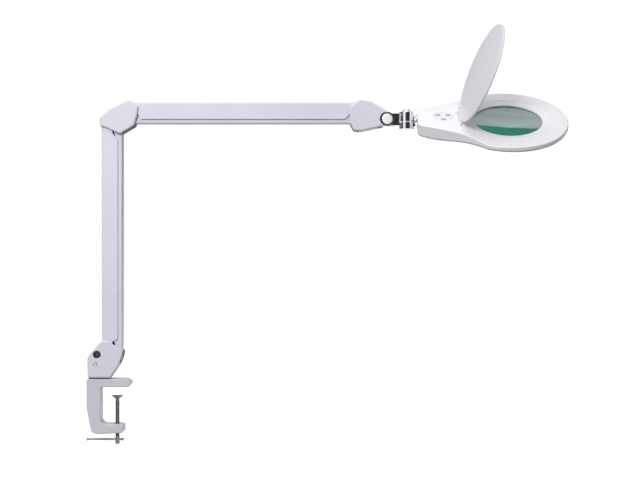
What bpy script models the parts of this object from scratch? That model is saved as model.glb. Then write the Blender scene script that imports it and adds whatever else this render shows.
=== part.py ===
"""Magnifying desk lamp: a clamp, two parallel-link arms and a lit lens head with a lid.

Lengths below are millimetres. The origin is on the underside of the clamp's upper jaw, where it
rests on the desk, on the axis of the clamp screw. +Z is up and +X runs out along the upper arm.
"""
import math

import bmesh
import bpy
from mathutils import Matrix, Vector

MM = 0.001
GAP = 0.3                      # air kept between pieces that touch

# Clamp
CLAMP_WIDTH = 40.0
JAW_LEFT, SPINE_RIGHT, JAW_TIP = -54.8, -29.0, 28.0
PLATE_TOP, LOWER_JAW_TOP, LOWER_JAW_BOTTOM = 14.9, -68.6, -84.2
SCREW_RADIUS, SCREW_BOTTOM, PAD_TOP, PAD_BOTTOM = 4.0, -106.4, -16.7, -22.7
BAR_HEIGHT, BAR_RADIUS, BAR_LEFT, BAR_RIGHT = -97.9, 2.0, -57.0, 11.6

# Swivel on the clamp's spine
SWIVEL_X, POST_RADIUS, POST_BOTTOM, POST_TOP = -42.0, 6.0, -29.0, 30.0
BUSH_RADIUS = 8.5

# Arms: pivots as (X, Z); each channel and its bar share one length between pivots
ARM_LENGTH = 425.0
BASE_PIVOT, BASE_BAR_PIVOT = (-14.4, 64.6), (3.9, 53.5)
ELBOW_PIVOT = (BASE_PIVOT[0], BASE_PIVOT[1] + ARM_LENGTH)
ELBOW_BAR_PIVOT = (BASE_BAR_PIVOT[0], BASE_BAR_PIVOT[1] + ARM_LENGTH)
UPPER_PIVOT, UPPER_BAR_PIVOT = (27.0, 511.7), (25.0, 491.6)
HEAD_PIVOT = (UPPER_PIVOT[0] + ARM_LENGTH, UPPER_PIVOT[1])
HEAD_BAR_PIVOT = (UPPER_BAR_PIVOT[0] + ARM_LENGTH, UPPER_BAR_PIVOT[1])
WALL = 1.8
CHANNEL_HALF, CHANNEL_BACK, LOWER_REACH, UPPER_REACH = 17.0, 12.6, 16.8, 18.4
BAR_HALF, BAR_BACK, BAR_REACH = 13.5, 6.6, 7.0
PIN_RADIUS, BAR_PIN_RADIUS, PIN_CLEARANCE = 3.0, 2.5, 0.4
TONGUE_HALF, HUB_RADIUS, BAR_HUB_RADIUS = 11.0, 9.9, 4.8

# Knuckle covers
COVER_HALF, COVER_WALL, COVER_EDGE = 22.0, 2.2, 2.5
INLET_AT, INLET_RADIUS = (-35.3, 60.4), 7.5
BASE_SCREW_AT, ELBOW_SCREW_AT, HEAD_SCREW_AT = (-38.1, 42.0), (4.0, 500.0), (473.0, 501.0)

# Tilt, swivel and roll joints behind the head
TILT_AT, KNOB_RADIUS, EAR_RADIUS = (498.6, 493.3), 12.9, 11.8
SWIVEL_AT_X, BARREL_RADIUS = 535.0, 13.8
BARREL_TOP, BARREL_SEAM, BARREL_BOTTOM = 507.8, 489.0, 475.1
ROLL_HEIGHT, NECK_RADIUS, NECK_START, NECK_END = 490.0, 11.0, 549.6, 554.1

# Head: local x along the handle axis, y across, z out of the lens; origin at the lens centre
LENS_CENTRE_X, HEAD_ROLL = 722.5, math.radians(30.4)
RING_RADIUS, RING_REACH, RING_TOP, RING_BOTTOM = 113.9, 111.0, 5.2, -6.0
HANDLE_END, HANDLE_TOP, HANDLE_BOTTOM = -168.0, 10.3, -16.0
SHELL_WALL, SEAM_ABOVE_BOTTOM = 2.4, 3.0
LENS_WINDOW, LENS_RADIUS, LENS_EDGE, LENS_BULGE = 63.5, 66.0, 2.6, 4.6
LENS_TOP_EDGE = -1.0
BEVEL_RADIUS, BOSS_RADIUS = 79.0, 82.0
LIGHT_INNER, LIGHT_OUTER = 72.3, 101.2
KEYPAD_X, KEYPAD_RADIUS, BUTTON_RADIUS, BUTTON_RING = -120.0, 18.2, 4.2, 11.2
HINGE_X, HINGE_Z, HINGE_LUG = -89.0, 8.7, 24.0
LID_LENGTH, LID_WIDTH, LID_THICK, LID_DOME = 190.4, 178.0, 2.0, 3.6
LID_SKIRT, SKIRT_START = 3.0, 33.0
LID_OPEN = math.radians(68.7)
RING_SIDES = 32

SIDE = Matrix.Rotation(math.pi / 2, 4, "X")
WORLD = Matrix.Identity(4)
HEAD = Matrix.Translation((LENS_CENTRE_X * MM, 0, ROLL_HEIGHT * MM)) @ Matrix.Rotation(HEAD_ROLL, 4, "X")

PARTS = bpy.data.collections.new("magnifying_lamp")
CUTTERS = bpy.data.collections.new("cutters")


# ---------------------------------------------------------------- outlines

def rounded(corners, steps=2):
    """An outline through corners (x, y, radius), each turned by an arc of that radius."""
    outline = []
    for index, (x, y, radius) in enumerate(corners):
        corner = Vector((x, y))
        back = (Vector(corners[index - 1][:2]) - corner).normalized()
        ahead = (Vector(corners[(index + 1) % len(corners)][:2]) - corner).normalized()
        if radius == 0:
            outline.append((x, y))
            continue
        half = back.angle(ahead) / 2
        centre = corner + (back + ahead).normalized() * radius / math.sin(half)
        first = corner + back * radius / math.tan(half) - centre
        last = corner + ahead * radius / math.tan(half) - centre
        sweep = math.atan2(first.cross(last), first.dot(last))
        for step in range(steps + 1):
            turned_by = Matrix.Rotation(sweep * step / steps, 2)
            outline.append(tuple(centre + turned_by @ first))
    return outline


def circle(centre, radius, sides=20, start=0.0):
    """Points around a circle."""
    angles = [start + 2 * math.pi * side / sides for side in range(sides)]
    return [(centre[0] + radius * math.cos(a), centre[1] + radius * math.sin(a)) for a in angles]


def wrap(circles, sides=16):
    """The outline of a belt drawn tight around circles (x, y, radius)."""
    points = sorted(p for x, y, radius in circles for p in circle((x, y), radius, sides))
    hull = []
    for ordered in (points, points[::-1]):
        chain = []
        for p in ordered:
            while len(chain) > 1 and ((chain[-1][0] - chain[-2][0]) * (p[1] - chain[-2][1])
                                      <= (chain[-1][1] - chain[-2][1]) * (p[0] - chain[-2][0])):
                chain.pop()
            chain.append(p)
        hull += chain[:-1]
    return hull


def inset(outline, distance):
    """An outline moved inwards by a distance."""
    area = sum(a[0] * b[1] - b[0] * a[1] for a, b in zip(outline, outline[1:] + outline[:1]))
    inward = distance if area > 0 else -distance
    moved = []
    for index, point in enumerate(outline):
        here, before = Vector(point), Vector(outline[index - 1])
        after = Vector(outline[(index + 1) % len(outline)])
        normals = [Vector((-side.y, side.x)).normalized() for side in (here - before, after - here)]
        middle = (normals[0] + normals[1]).normalized()
        moved.append(tuple(here + middle * inward / max(middle.dot(normals[0]), 0.5)))
    return moved


# ---------------------------------------------------------------- shapes

def place(mesh, frame=WORLD):
    """A mesh as an object among the cutters, until it is named as a piece."""
    obj = bpy.data.objects.new("cutter", mesh)
    obj.matrix_world = frame
    obj.hide_render = True
    obj.display_type = "WIRE"
    CUTTERS.objects.link(obj)
    return obj


def from_bmesh(shape, frame):
    mesh = bpy.data.meshes.new("shape")
    shape.to_mesh(mesh)
    shape.free()
    return place(mesh, frame)


def box(low, high, frame=WORLD):
    """A box between two corners."""
    low, high = Vector(low) * MM, Vector(high) * MM
    size = high - low
    shape = bmesh.new()
    bmesh.ops.create_cube(shape, size=1.0)
    bmesh.ops.transform(shape, verts=shape.verts,
                        matrix=Matrix.Translation((low + high) / 2) @ Matrix.Diagonal((*size, 1)))
    return from_bmesh(shape, frame)


def rod(start, end, radius, sides=14, frame=WORLD, end_radius=None):
    """A cylinder or a cone between two points."""
    start, end = Vector(start) * MM, Vector(end) * MM
    shape = bmesh.new()
    bmesh.ops.create_cone(shape, cap_ends=True, segments=sides, radius1=radius * MM,
                          radius2=(radius if end_radius is None else end_radius) * MM,
                          depth=(end - start).length)
    turn = (end - start).to_track_quat("Z", "Y").to_matrix().to_4x4()
    bmesh.ops.transform(shape, verts=shape.verts, matrix=Matrix.Translation((start + end) / 2) @ turn)
    return from_bmesh(shape, frame)


def slab(outline, low, high, frame=WORLD, edge=0.0):
    """A flat outline made solid between two heights of the frame, with rounded edges if asked."""
    curve = bpy.data.curves.new("outline", "CURVE")
    curve.dimensions = "2D"
    curve.fill_mode = "BOTH"
    curve.extrude = ((high - low) / 2 - edge) * MM
    curve.bevel_depth = edge * MM
    curve.offset = -edge * MM
    curve.bevel_resolution = 0
    spline = curve.splines.new("POLY")
    spline.points.add(len(outline) - 1)
    for point, (x, y) in zip(spline.points, outline):
        point.co = (x * MM, y * MM, 0, 1)
    spline.use_cyclic_u = True
    drawn = bpy.data.objects.new("outline", curve)
    CUTTERS.objects.link(drawn)
    bpy.context.view_layer.update()
    evaluated = drawn.evaluated_get(bpy.context.evaluated_depsgraph_get())
    mesh = bpy.data.meshes.new_from_object(evaluated)
    bpy.data.objects.remove(drawn)
    bpy.data.curves.remove(curve)
    mesh.materials.clear()
    shape = bmesh.new()
    shape.from_mesh(mesh)
    bmesh.ops.remove_doubles(shape, verts=shape.verts, dist=0.000002)
    bmesh.ops.recalc_face_normals(shape, faces=shape.faces)
    bpy.data.meshes.remove(mesh)
    return from_bmesh(shape, frame @ Matrix.Translation((0, 0, (low + high) / 2 * MM)))


def side_slab(outline, near, far, edge=0.0):
    """An (X, Z) outline made solid from Y = near to Y = far."""
    return slab(outline, -far, -near, SIDE, edge)


def turned(profile, frame=WORLD, sides=16):
    """A (radius, height) profile, read down its outer side, turned about the frame's Z axis."""
    mesh = bpy.data.meshes.new("profile")
    closed = profile[0][0] > 0
    count = len(profile)
    edges = [(i, (i + 1) % count) for i in range(count if closed else count - 1)]
    mesh.from_pydata([(r * MM, 0, z * MM) for r, z in profile], edges, [])
    obj = place(mesh, frame)
    screw = obj.modifiers.new("Turn", "SCREW")
    screw.steps = screw.render_steps = sides
    screw.use_merge_vertices = True
    screw.merge_threshold = 0.000005
    screw.use_smooth_shade = False
    return obj


def boolean(target, operation, tools):
    for tool in tools:
        modifier = target.modifiers.new(operation.title(), "BOOLEAN")
        modifier.operation = operation
        modifier.solver = "EXACT"
        modifier.object = tool
    return target


def cut(target, *tools):
    return boolean(target, "DIFFERENCE", tools)


def join(target, *tools):
    return boolean(target, "UNION", tools)


def common(target, *tools):
    return boolean(target, "INTERSECT", tools)


# ---------------------------------------------------------------- pieces

def material(name, colour, roughness, metallic=0.0):
    made = bpy.data.materials.new(name)
    made.diffuse_color = (*colour, 1.0)
    made.use_nodes = True
    shader = made.node_tree.nodes["Principled BSDF"]
    shader.inputs["Base Color"].default_value = (*colour, 1.0)
    shader.inputs["Roughness"].default_value = roughness
    shader.inputs["Metallic"].default_value = metallic
    return made


def joint_empty(name, at, parent=None):
    """An empty on a joint's axis that carries one moving body."""
    empty = bpy.data.objects.new(name, None)
    empty.empty_display_size = 0.02
    PARTS.objects.link(empty)
    empty.matrix_world = Matrix.Translation(Vector(at) * MM)
    bpy.context.view_layer.update()
    if parent:
        empty.parent = parent
        empty.matrix_parent_inverse = parent.matrix_world.inverted()
        bpy.context.view_layer.update()
    return empty


def piece(name, obj, finish, carrier=None):
    """Name a finished shape, give it its material and hang it on the body that carries it."""
    CUTTERS.objects.unlink(obj)
    PARTS.objects.link(obj)
    obj.name = name
    obj.data.name = name
    obj.hide_render = False
    obj.display_type = "TEXTURED"
    obj.data.materials.append(finish)
    if obj.data.polygons:
        obj.data.shade_smooth()
        obj.data.set_sharp_from_angle(angle=math.radians(35))
    if carrier:
        obj.parent = carrier
        obj.matrix_parent_inverse = carrier.matrix_world.inverted()
    return obj


def pivot_frame(pivot):
    """A frame at an (X, Z) pivot whose own Z axis points to the front, along -Y."""
    return Matrix.Translation((pivot[0] * MM, 0, pivot[1] * MM)) @ SIDE


def through(pivot, radius, sides=14, near=-30.0, far=30.0):
    """A round tool along Y through an (X, Z) pivot."""
    return rod((pivot[0], near, pivot[1]), (pivot[0], far, pivot[1]), radius, sides)


def pivot_pin(pivot, radius, half, head_radius, head_thick):
    """A pin along Y with a flat head on each end."""
    shoulder = half - head_thick
    return turned([(0, half), (head_radius, half), (head_radius, shoulder), (radius, shoulder),
                   (radius, -shoulder), (head_radius, -shoulder), (head_radius, -half), (0, -half)],
                  pivot_frame(pivot), 10)


def channel_pin(pivot):
    return pivot_pin(pivot, PIN_RADIUS, 19.0, 4.6, 1.65)


def bar_pin(pivot):
    return pivot_pin(pivot, BAR_PIN_RADIUS, 14.85, 3.7, 1.0)


def channel_hole(pivot):
    """A tool for the hole that a channel's pin turns in."""
    return through(pivot, PIN_RADIUS + PIN_CLEARANCE)


def bar_hole(pivot):
    """A tool for the hole that a bar's pin turns in."""
    return through(pivot, BAR_PIN_RADIUS + PIN_CLEARANCE)


def screw_hole(at):
    """A tool for a bracket's clearance hole for its cover screw."""
    return through(at, 1.9, 12)


def cover(outline, opening, screw_at, front, screw_head_front, tools):
    """Half a knuckle cover: an edged plate with a rim, open where the arms come through."""
    blank = side_slab(outline, -COVER_HALF, COVER_HALF, COVER_EDGE)
    inner = COVER_HALF - COVER_WALL
    hollow = side_slab(inset(outline, COVER_WALL), -inner, inner)
    side = -1 if front else 1
    near, far = sorted((-side * 60, side * GAP / 2))
    other_half = box((-200, near, -200), (900, far, 900))
    cut(blank, hollow, *[side_slab(region, -inner, inner) for region in opening], other_half)
    boss_ends = sorted((side * (TONGUE_HALF + GAP), side * (inner + 0.8)))
    join(blank, through(screw_at, 4.0, 14, *boss_ends))
    if front == screw_head_front:
        cut(blank, through(screw_at, 1.9, 12, *sorted((side * 10, side * 30))),
            through(screw_at, 3.8, 16, *sorted((side * 20.2, side * 30))))
    else:
        cut(blank, through(screw_at, 1.9, 12, *sorted((side * 10, side * 17))))
    return cut(blank, *tools)


def cover_screw(screw_at, front):
    """A screw that joins two half covers through the bracket between them."""
    profile = [(0, 21.6), (2.6, 21.6), (3.5, 20.9), (3.5, 20.5), (1.5, 20.5), (1.5, -16.2), (0, -16.2)]
    frame = pivot_frame(screw_at)
    if not front:
        frame = frame @ Matrix.Rotation(math.pi, 4, "X")
    return turned(profile, frame, 10)


def arm_frame(pivot, upright):
    """An arm's frame: x along the arm, y to its back; the back is the left or the top side."""
    turn = Matrix.Rotation(math.pi / 2, 4, "Z") if upright else WORLD
    return pivot_frame(pivot) @ turn


def channel(frame, near_cut, far_cut, reach):
    """The outer arm: a channel with its back outwards, its open corners cut back at both ends."""
    lip, shoulder, back = 6.2, 6.9, CHANNEL_BACK
    tail = math.sqrt(back ** 2 - lip ** 2)
    first = math.atan2(-lip, -tail)
    arc = [math.pi / 2 + (first + 1.5 * math.pi) * step / 6 for step in range(7)]
    near_end = [(back * math.cos(a), back * math.sin(a)) for a in arc]
    far_end = [(ARM_LENGTH - x, y) for x, y in reversed(near_end)]
    outline = near_end + [(near_cut[1], -shoulder), (near_cut[0], -reach),
                          (ARM_LENGTH - far_cut[0], -reach), (ARM_LENGTH - far_cut[1], -shoulder)] + far_end
    arm = slab(outline, -CHANNEL_HALF, CHANNEL_HALF, frame)
    inner, end = CHANNEL_HALF - WALL, ARM_LENGTH + 20
    slot = inner - 0.4
    cut(arm, box((-20, -30, -inner), (end, back - WALL, inner), frame),
        box((-20, 5, -slot), (4, 20, slot), frame),
        box((ARM_LENGTH - 4, 5, -slot), (end, 20, slot), frame))
    return cut(arm, *[rod((x, 0, -30), (x, 0, 30), PIN_RADIUS + PIN_CLEARANCE, 16, frame)
                      for x in (0, ARM_LENGTH)])


def bar(frame):
    """The inner arm: a narrower channel that faces the outer one and nests in it."""
    corner = math.sqrt(BAR_REACH ** 2 - BAR_BACK ** 2)
    near_end = [(-BAR_BACK * math.sin(math.pi * step / 6), BAR_BACK * math.cos(math.pi * step / 6))
                for step in range(7)]
    far_end = [(ARM_LENGTH - x, y) for x, y in reversed(near_end)]
    outline = [(corner + 2, BAR_REACH)] + near_end + far_end + [(ARM_LENGTH - corner - 2, BAR_REACH)]
    arm = slab(outline, -BAR_HALF, BAR_HALF, frame)
    inner, end = BAR_HALF - WALL, ARM_LENGTH + 20
    slot = inner - 0.4
    cut(arm, box((-20, WALL - BAR_BACK, -inner), (end, 20, inner), frame),
        box((-20, -20, -slot), (12, -3.9, slot), frame),
        box((ARM_LENGTH - 12, -20, -slot), (end, -3.9, slot), frame))
    return cut(arm, *[rod((x, 0, -30), (x, 0, 30), BAR_PIN_RADIUS + PIN_CLEARANCE, 14, frame)
                      for x in (0, ARM_LENGTH)])


def spring(frame, start=60.0, turns=9, pitch=16.0, radius=4.6, wire=0.9):
    """A coil laid along an arm's channel, with a straight hook at each end."""
    per_turn, lift = 6, 3.0
    coil = []
    for step in range(turns * per_turn + 1):
        angle = 2 * math.pi * step / per_turn
        across, up = radius * math.sin(angle), lift + radius * math.cos(angle)
        coil.append((start + pitch * step / per_turn, up, across))
    points = [(start - 12, lift, 0)] + coil + [(coil[-1][0] + 12, lift, 0)]
    curve = bpy.data.curves.new("coil", "CURVE")
    curve.dimensions = "3D"
    curve.bevel_depth = wire * MM
    curve.bevel_resolution = 0
    curve.use_fill_caps = True
    line = curve.splines.new("POLY")
    line.points.add(len(points) - 1)
    for point, place_at in zip(line.points, points):
        point.co = (*(Vector(place_at) * MM), 1)
    coil_object = bpy.data.objects.new("coil", curve)
    CUTTERS.objects.link(coil_object)
    bpy.context.view_layer.update()
    mesh = bpy.data.meshes.new_from_object(coil_object.evaluated_get(bpy.context.evaluated_depsgraph_get()))
    bpy.data.objects.remove(coil_object)
    bpy.data.curves.remove(curve)
    mesh.materials.clear()
    shape = bmesh.new()
    shape.from_mesh(mesh)
    bmesh.ops.remove_doubles(shape, verts=shape.verts, dist=0.000002)
    bmesh.ops.recalc_face_normals(shape, faces=shape.faces)
    bpy.data.meshes.remove(mesh)
    return from_bmesh(shape, frame)


# ---------------------------------------------------------------- clamp

def build_clamp(finish, carriers):
    outline = rounded([
        (JAW_LEFT, PLATE_TOP, 2.5), (18.0, PLATE_TOP, 8.0), (JAW_TIP, 8.5, 3.5), (22.2, 0, 1.5),
        (SPINE_RIGHT, 0, 1.5), (SPINE_RIGHT, LOWER_JAW_TOP, 10.0), (-8.0, LOWER_JAW_TOP, 6.0),
        (9.0, LOWER_JAW_TOP, 2.0), (12.9, -70.5, 3.0), (12.9, LOWER_JAW_BOTTOM, 4.0),
        (-34.0, -86.5, 10.0), (-46.0, -84.0, 9.0), (JAW_LEFT, -37.7, 20.0)])
    frame_solid = side_slab(outline, -CLAMP_WIDTH / 2, CLAMP_WIDTH / 2, 1.4)
    cut(frame_solid, rod((0, 0, -100), (0, 0, -50), SCREW_RADIUS + 0.35),
        rod((SWIVEL_X, 0, -30.5), (SWIVEL_X, 0, 30), BUSH_RADIUS + GAP, 20))
    piece("clamp_frame", frame_solid, finish["clamp_paint"])

    flange_top = PLATE_TOP + 1.5
    bush = turned([(11.5, flange_top), (11.5, PLATE_TOP + GAP), (BUSH_RADIUS, PLATE_TOP + GAP),
                   (BUSH_RADIUS, -30.0), (POST_RADIUS + GAP, -30.0), (POST_RADIUS + GAP, flange_top)],
                  Matrix.Translation((SWIVEL_X * MM, 0, 0)), 20)
    piece("swivel_bush", bush, finish["nylon"])

    pad = turned([(0, PAD_TOP), (9.9, PAD_TOP), (10.5, PAD_TOP - 0.6), (9.2, PAD_TOP - 2.0),
                  (6.2, PAD_TOP - 4.0), (5.2, PAD_BOTTOM), (3.45, PAD_BOTTOM), (3.45, -18.7), (0, -18.7)])
    piece("clamp_pad", pad, finish["steel"], carriers["clamp_pad"])
    screw = turned([(0, -19.1), (2.7, -19.1), (3.0, -19.4), (3.0, PAD_BOTTOM - 0.4), (SCREW_RADIUS, -24.1),
                    (SCREW_RADIUS, SCREW_BOTTOM + 1.2), (2.8, SCREW_BOTTOM), (0, SCREW_BOTTOM)])
    cut(screw, rod((-10, 0, BAR_HEIGHT), (10, 0, BAR_HEIGHT), BAR_RADIUS + 0.35))
    piece("clamp_screw", screw, finish["steel"], carriers["clamp_screw"])

    knob, swage = 2.8, 3.0
    along = [(0, BAR_RIGHT), (1.8, BAR_RIGHT), (knob, BAR_RIGHT - 0.9), (knob, BAR_RIGHT - swage + 0.6),
             (BAR_RADIUS, BAR_RIGHT - swage), (BAR_RADIUS, BAR_LEFT + swage), (knob, BAR_LEFT + swage - 0.6),
             (knob, BAR_LEFT + 0.9), (1.8, BAR_LEFT), (0, BAR_LEFT)]
    lying = Matrix.Translation((0, 0, BAR_HEIGHT * MM)) @ Matrix.Rotation(math.pi / 2, 4, "Y")
    piece("tommy_bar", turned(along, lying, 14), finish["steel"], carriers["tommy_bar"])


# ---------------------------------------------------------------- knuckles and arms

def build_base(finish, carrier):
    collar = turned([(0, POST_TOP), (POST_RADIUS, POST_TOP), (POST_RADIUS, 19.2), (8.2, 19.2), (8.2, 16.8),
                     (POST_RADIUS, 16.8), (POST_RADIUS, POST_BOTTOM + 1), (POST_RADIUS - 1, POST_BOTTOM),
                     (0, POST_BOTTOM)], Matrix.Translation((SWIVEL_X * MM, 0, 0)), 20)
    piece("swivel_pin", collar, finish["steel"], carrier)
    tongue_outline = wrap([(*BASE_PIVOT, HUB_RADIUS), (*BASE_BAR_PIVOT, BAR_HUB_RADIUS),
                           (-44.5, 24.5, 5.0), (-20.0, 24.5, 5.0), (*BASE_SCREW_AT, 6.5)])
    tongue = side_slab(tongue_outline, -TONGUE_HALF, TONGUE_HALF)
    cut(tongue, rod((SWIVEL_X, 0, 10), (SWIVEL_X, 0, POST_TOP + 0.4), POST_RADIUS + GAP, 20),
        channel_hole(BASE_PIVOT), bar_hole(BASE_BAR_PIVOT), screw_hole(BASE_SCREW_AT))
    piece("base_bracket", tongue, finish["cast_metal"], carrier)

    outline = rounded([(-52.8, 16.8, 3.6), (-53.2, 56.0, 14.0), (-23.5, 91.0, 14.0), (12.9, 66.8, 4.0),
                       (11.2, 56.5, 12.0), (5.0, 40.0, 30.0), (-10.5, 16.8, 3.6)])
    opening = [(-33.5, 76.5), (-60.0, 110.0), (40.0, 110.0), (40.0, 43.5), (-2.0, 43.5), (-10.0, 70.0)]
    pin_hole = rod((SWIVEL_X, 0, 10), (SWIVEL_X, 0, 20), 8.6, 20)
    inlet_hole = through(INLET_AT, INLET_RADIUS + 0.35, 24, -30, 0)
    for front, name in ((True, "base_cover_front"), (False, "base_cover_rear")):
        tools = [pin_hole, inlet_hole] if front else [pin_hole]
        half = cover(outline, [opening], BASE_SCREW_AT, front, True, tools)
        piece(name, half, finish["white_paint"], carrier)
    inlet = pivot_frame(INLET_AT)
    socket = turned([(INLET_RADIUS, 22.0), (INLET_RADIUS, 11.8), (1.4, 11.8), (1.4, 14.0), (3.2, 14.0),
                     (3.2, 22.0)], inlet, 24)
    piece("power_inlet", socket, finish["black_plastic"], carrier)
    contact = turned([(0, 21.2), (0.7, 21.2), (1.0, 20.6), (1.0, 11.2), (0, 11.2)], inlet, 10)
    piece("inlet_pin", contact, finish["brass"], carrier)
    piece("base_cover_screw", cover_screw(BASE_SCREW_AT, True), finish["steel"], carrier)
    piece("lower_base_pivot", channel_pin(BASE_PIVOT), finish["steel"], carrier)
    piece("lower_base_bar_pivot", bar_pin(BASE_BAR_PIVOT), finish["steel"], carrier)


def build_elbow(finish, carrier):
    pivots = [ELBOW_PIVOT, UPPER_PIVOT]
    bar_pivots = [ELBOW_BAR_PIVOT, UPPER_BAR_PIVOT]
    hubs = [(*at, HUB_RADIUS) for at in pivots] + [(*at, BAR_HUB_RADIUS) for at in bar_pivots]
    tongue = side_slab(wrap(hubs), -TONGUE_HALF, TONGUE_HALF)
    cut(tongue, *[channel_hole(at) for at in pivots])
    cut(tongue, *[bar_hole(at) for at in bar_pivots])
    cut(tongue, screw_hole(ELBOW_SCREW_AT))
    piece("elbow_bracket", tongue, finish["cast_metal"], carrier)
    outline = rounded([(-30.2, 478.5, 3.6), (-30.2, 496.6, 5.0), (-12.0, 512.0, 30.0), (23.5, 529.8, 7.0),
                       (41.8, 516.5, 6.0), (38.5, 499.0, 25.0), (33.0, 480.9, 4.0), (7.2, 465.4, 5.0),
                       (-23.0, 478.4, 10.0)])
    opening = [(-60, 497.8), (-24, 497.8), (-5, 500), (12, 508), (19, 518), (19, 560), (90, 560), (90, 430),
               (-60, 430)]
    for front, name in ((True, "elbow_cover_front"), (False, "elbow_cover_rear")):
        half = cover(outline, [opening], ELBOW_SCREW_AT, front, False, [])
        piece(name, half, finish["white_paint"], carrier)
    piece("elbow_cover_screw", cover_screw(ELBOW_SCREW_AT, False), finish["steel"], carrier)
    for name, at in (("lower_elbow_pivot", ELBOW_PIVOT), ("upper_elbow_pivot", UPPER_PIVOT)):
        piece(name, channel_pin(at), finish["steel"], carrier)
    for name, at in (("lower_elbow_bar_pivot", ELBOW_BAR_PIVOT), ("upper_elbow_bar_pivot", UPPER_BAR_PIVOT)):
        piece(name, bar_pin(at), finish["steel"], carrier)


def build_arms(finish, carriers):
    lower, upper = arm_frame(BASE_PIVOT, True), arm_frame(UPPER_PIVOT, False)
    piece("lower_channel", channel(lower, (24.3, 19.1), (35.0, 22.0), LOWER_REACH),
          finish["white_paint"], carriers["lower_channel"])
    piece("upper_channel", channel(upper, (18.0, 11.0), (31.5, 20.0), UPPER_REACH),
          finish["white_paint"], carriers["upper_channel"])
    piece("lower_spring", spring(lower), finish["spring_steel"], carriers["lower_channel"])
    piece("upper_spring", spring(upper), finish["spring_steel"], carriers["upper_channel"])
    piece("lower_bar", bar(arm_frame(BASE_BAR_PIVOT, True)), finish["white_paint"], carriers["lower_bar"])
    piece("upper_bar", bar(arm_frame(UPPER_BAR_PIVOT, False)), finish["white_paint"], carriers["upper_bar"])


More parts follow.
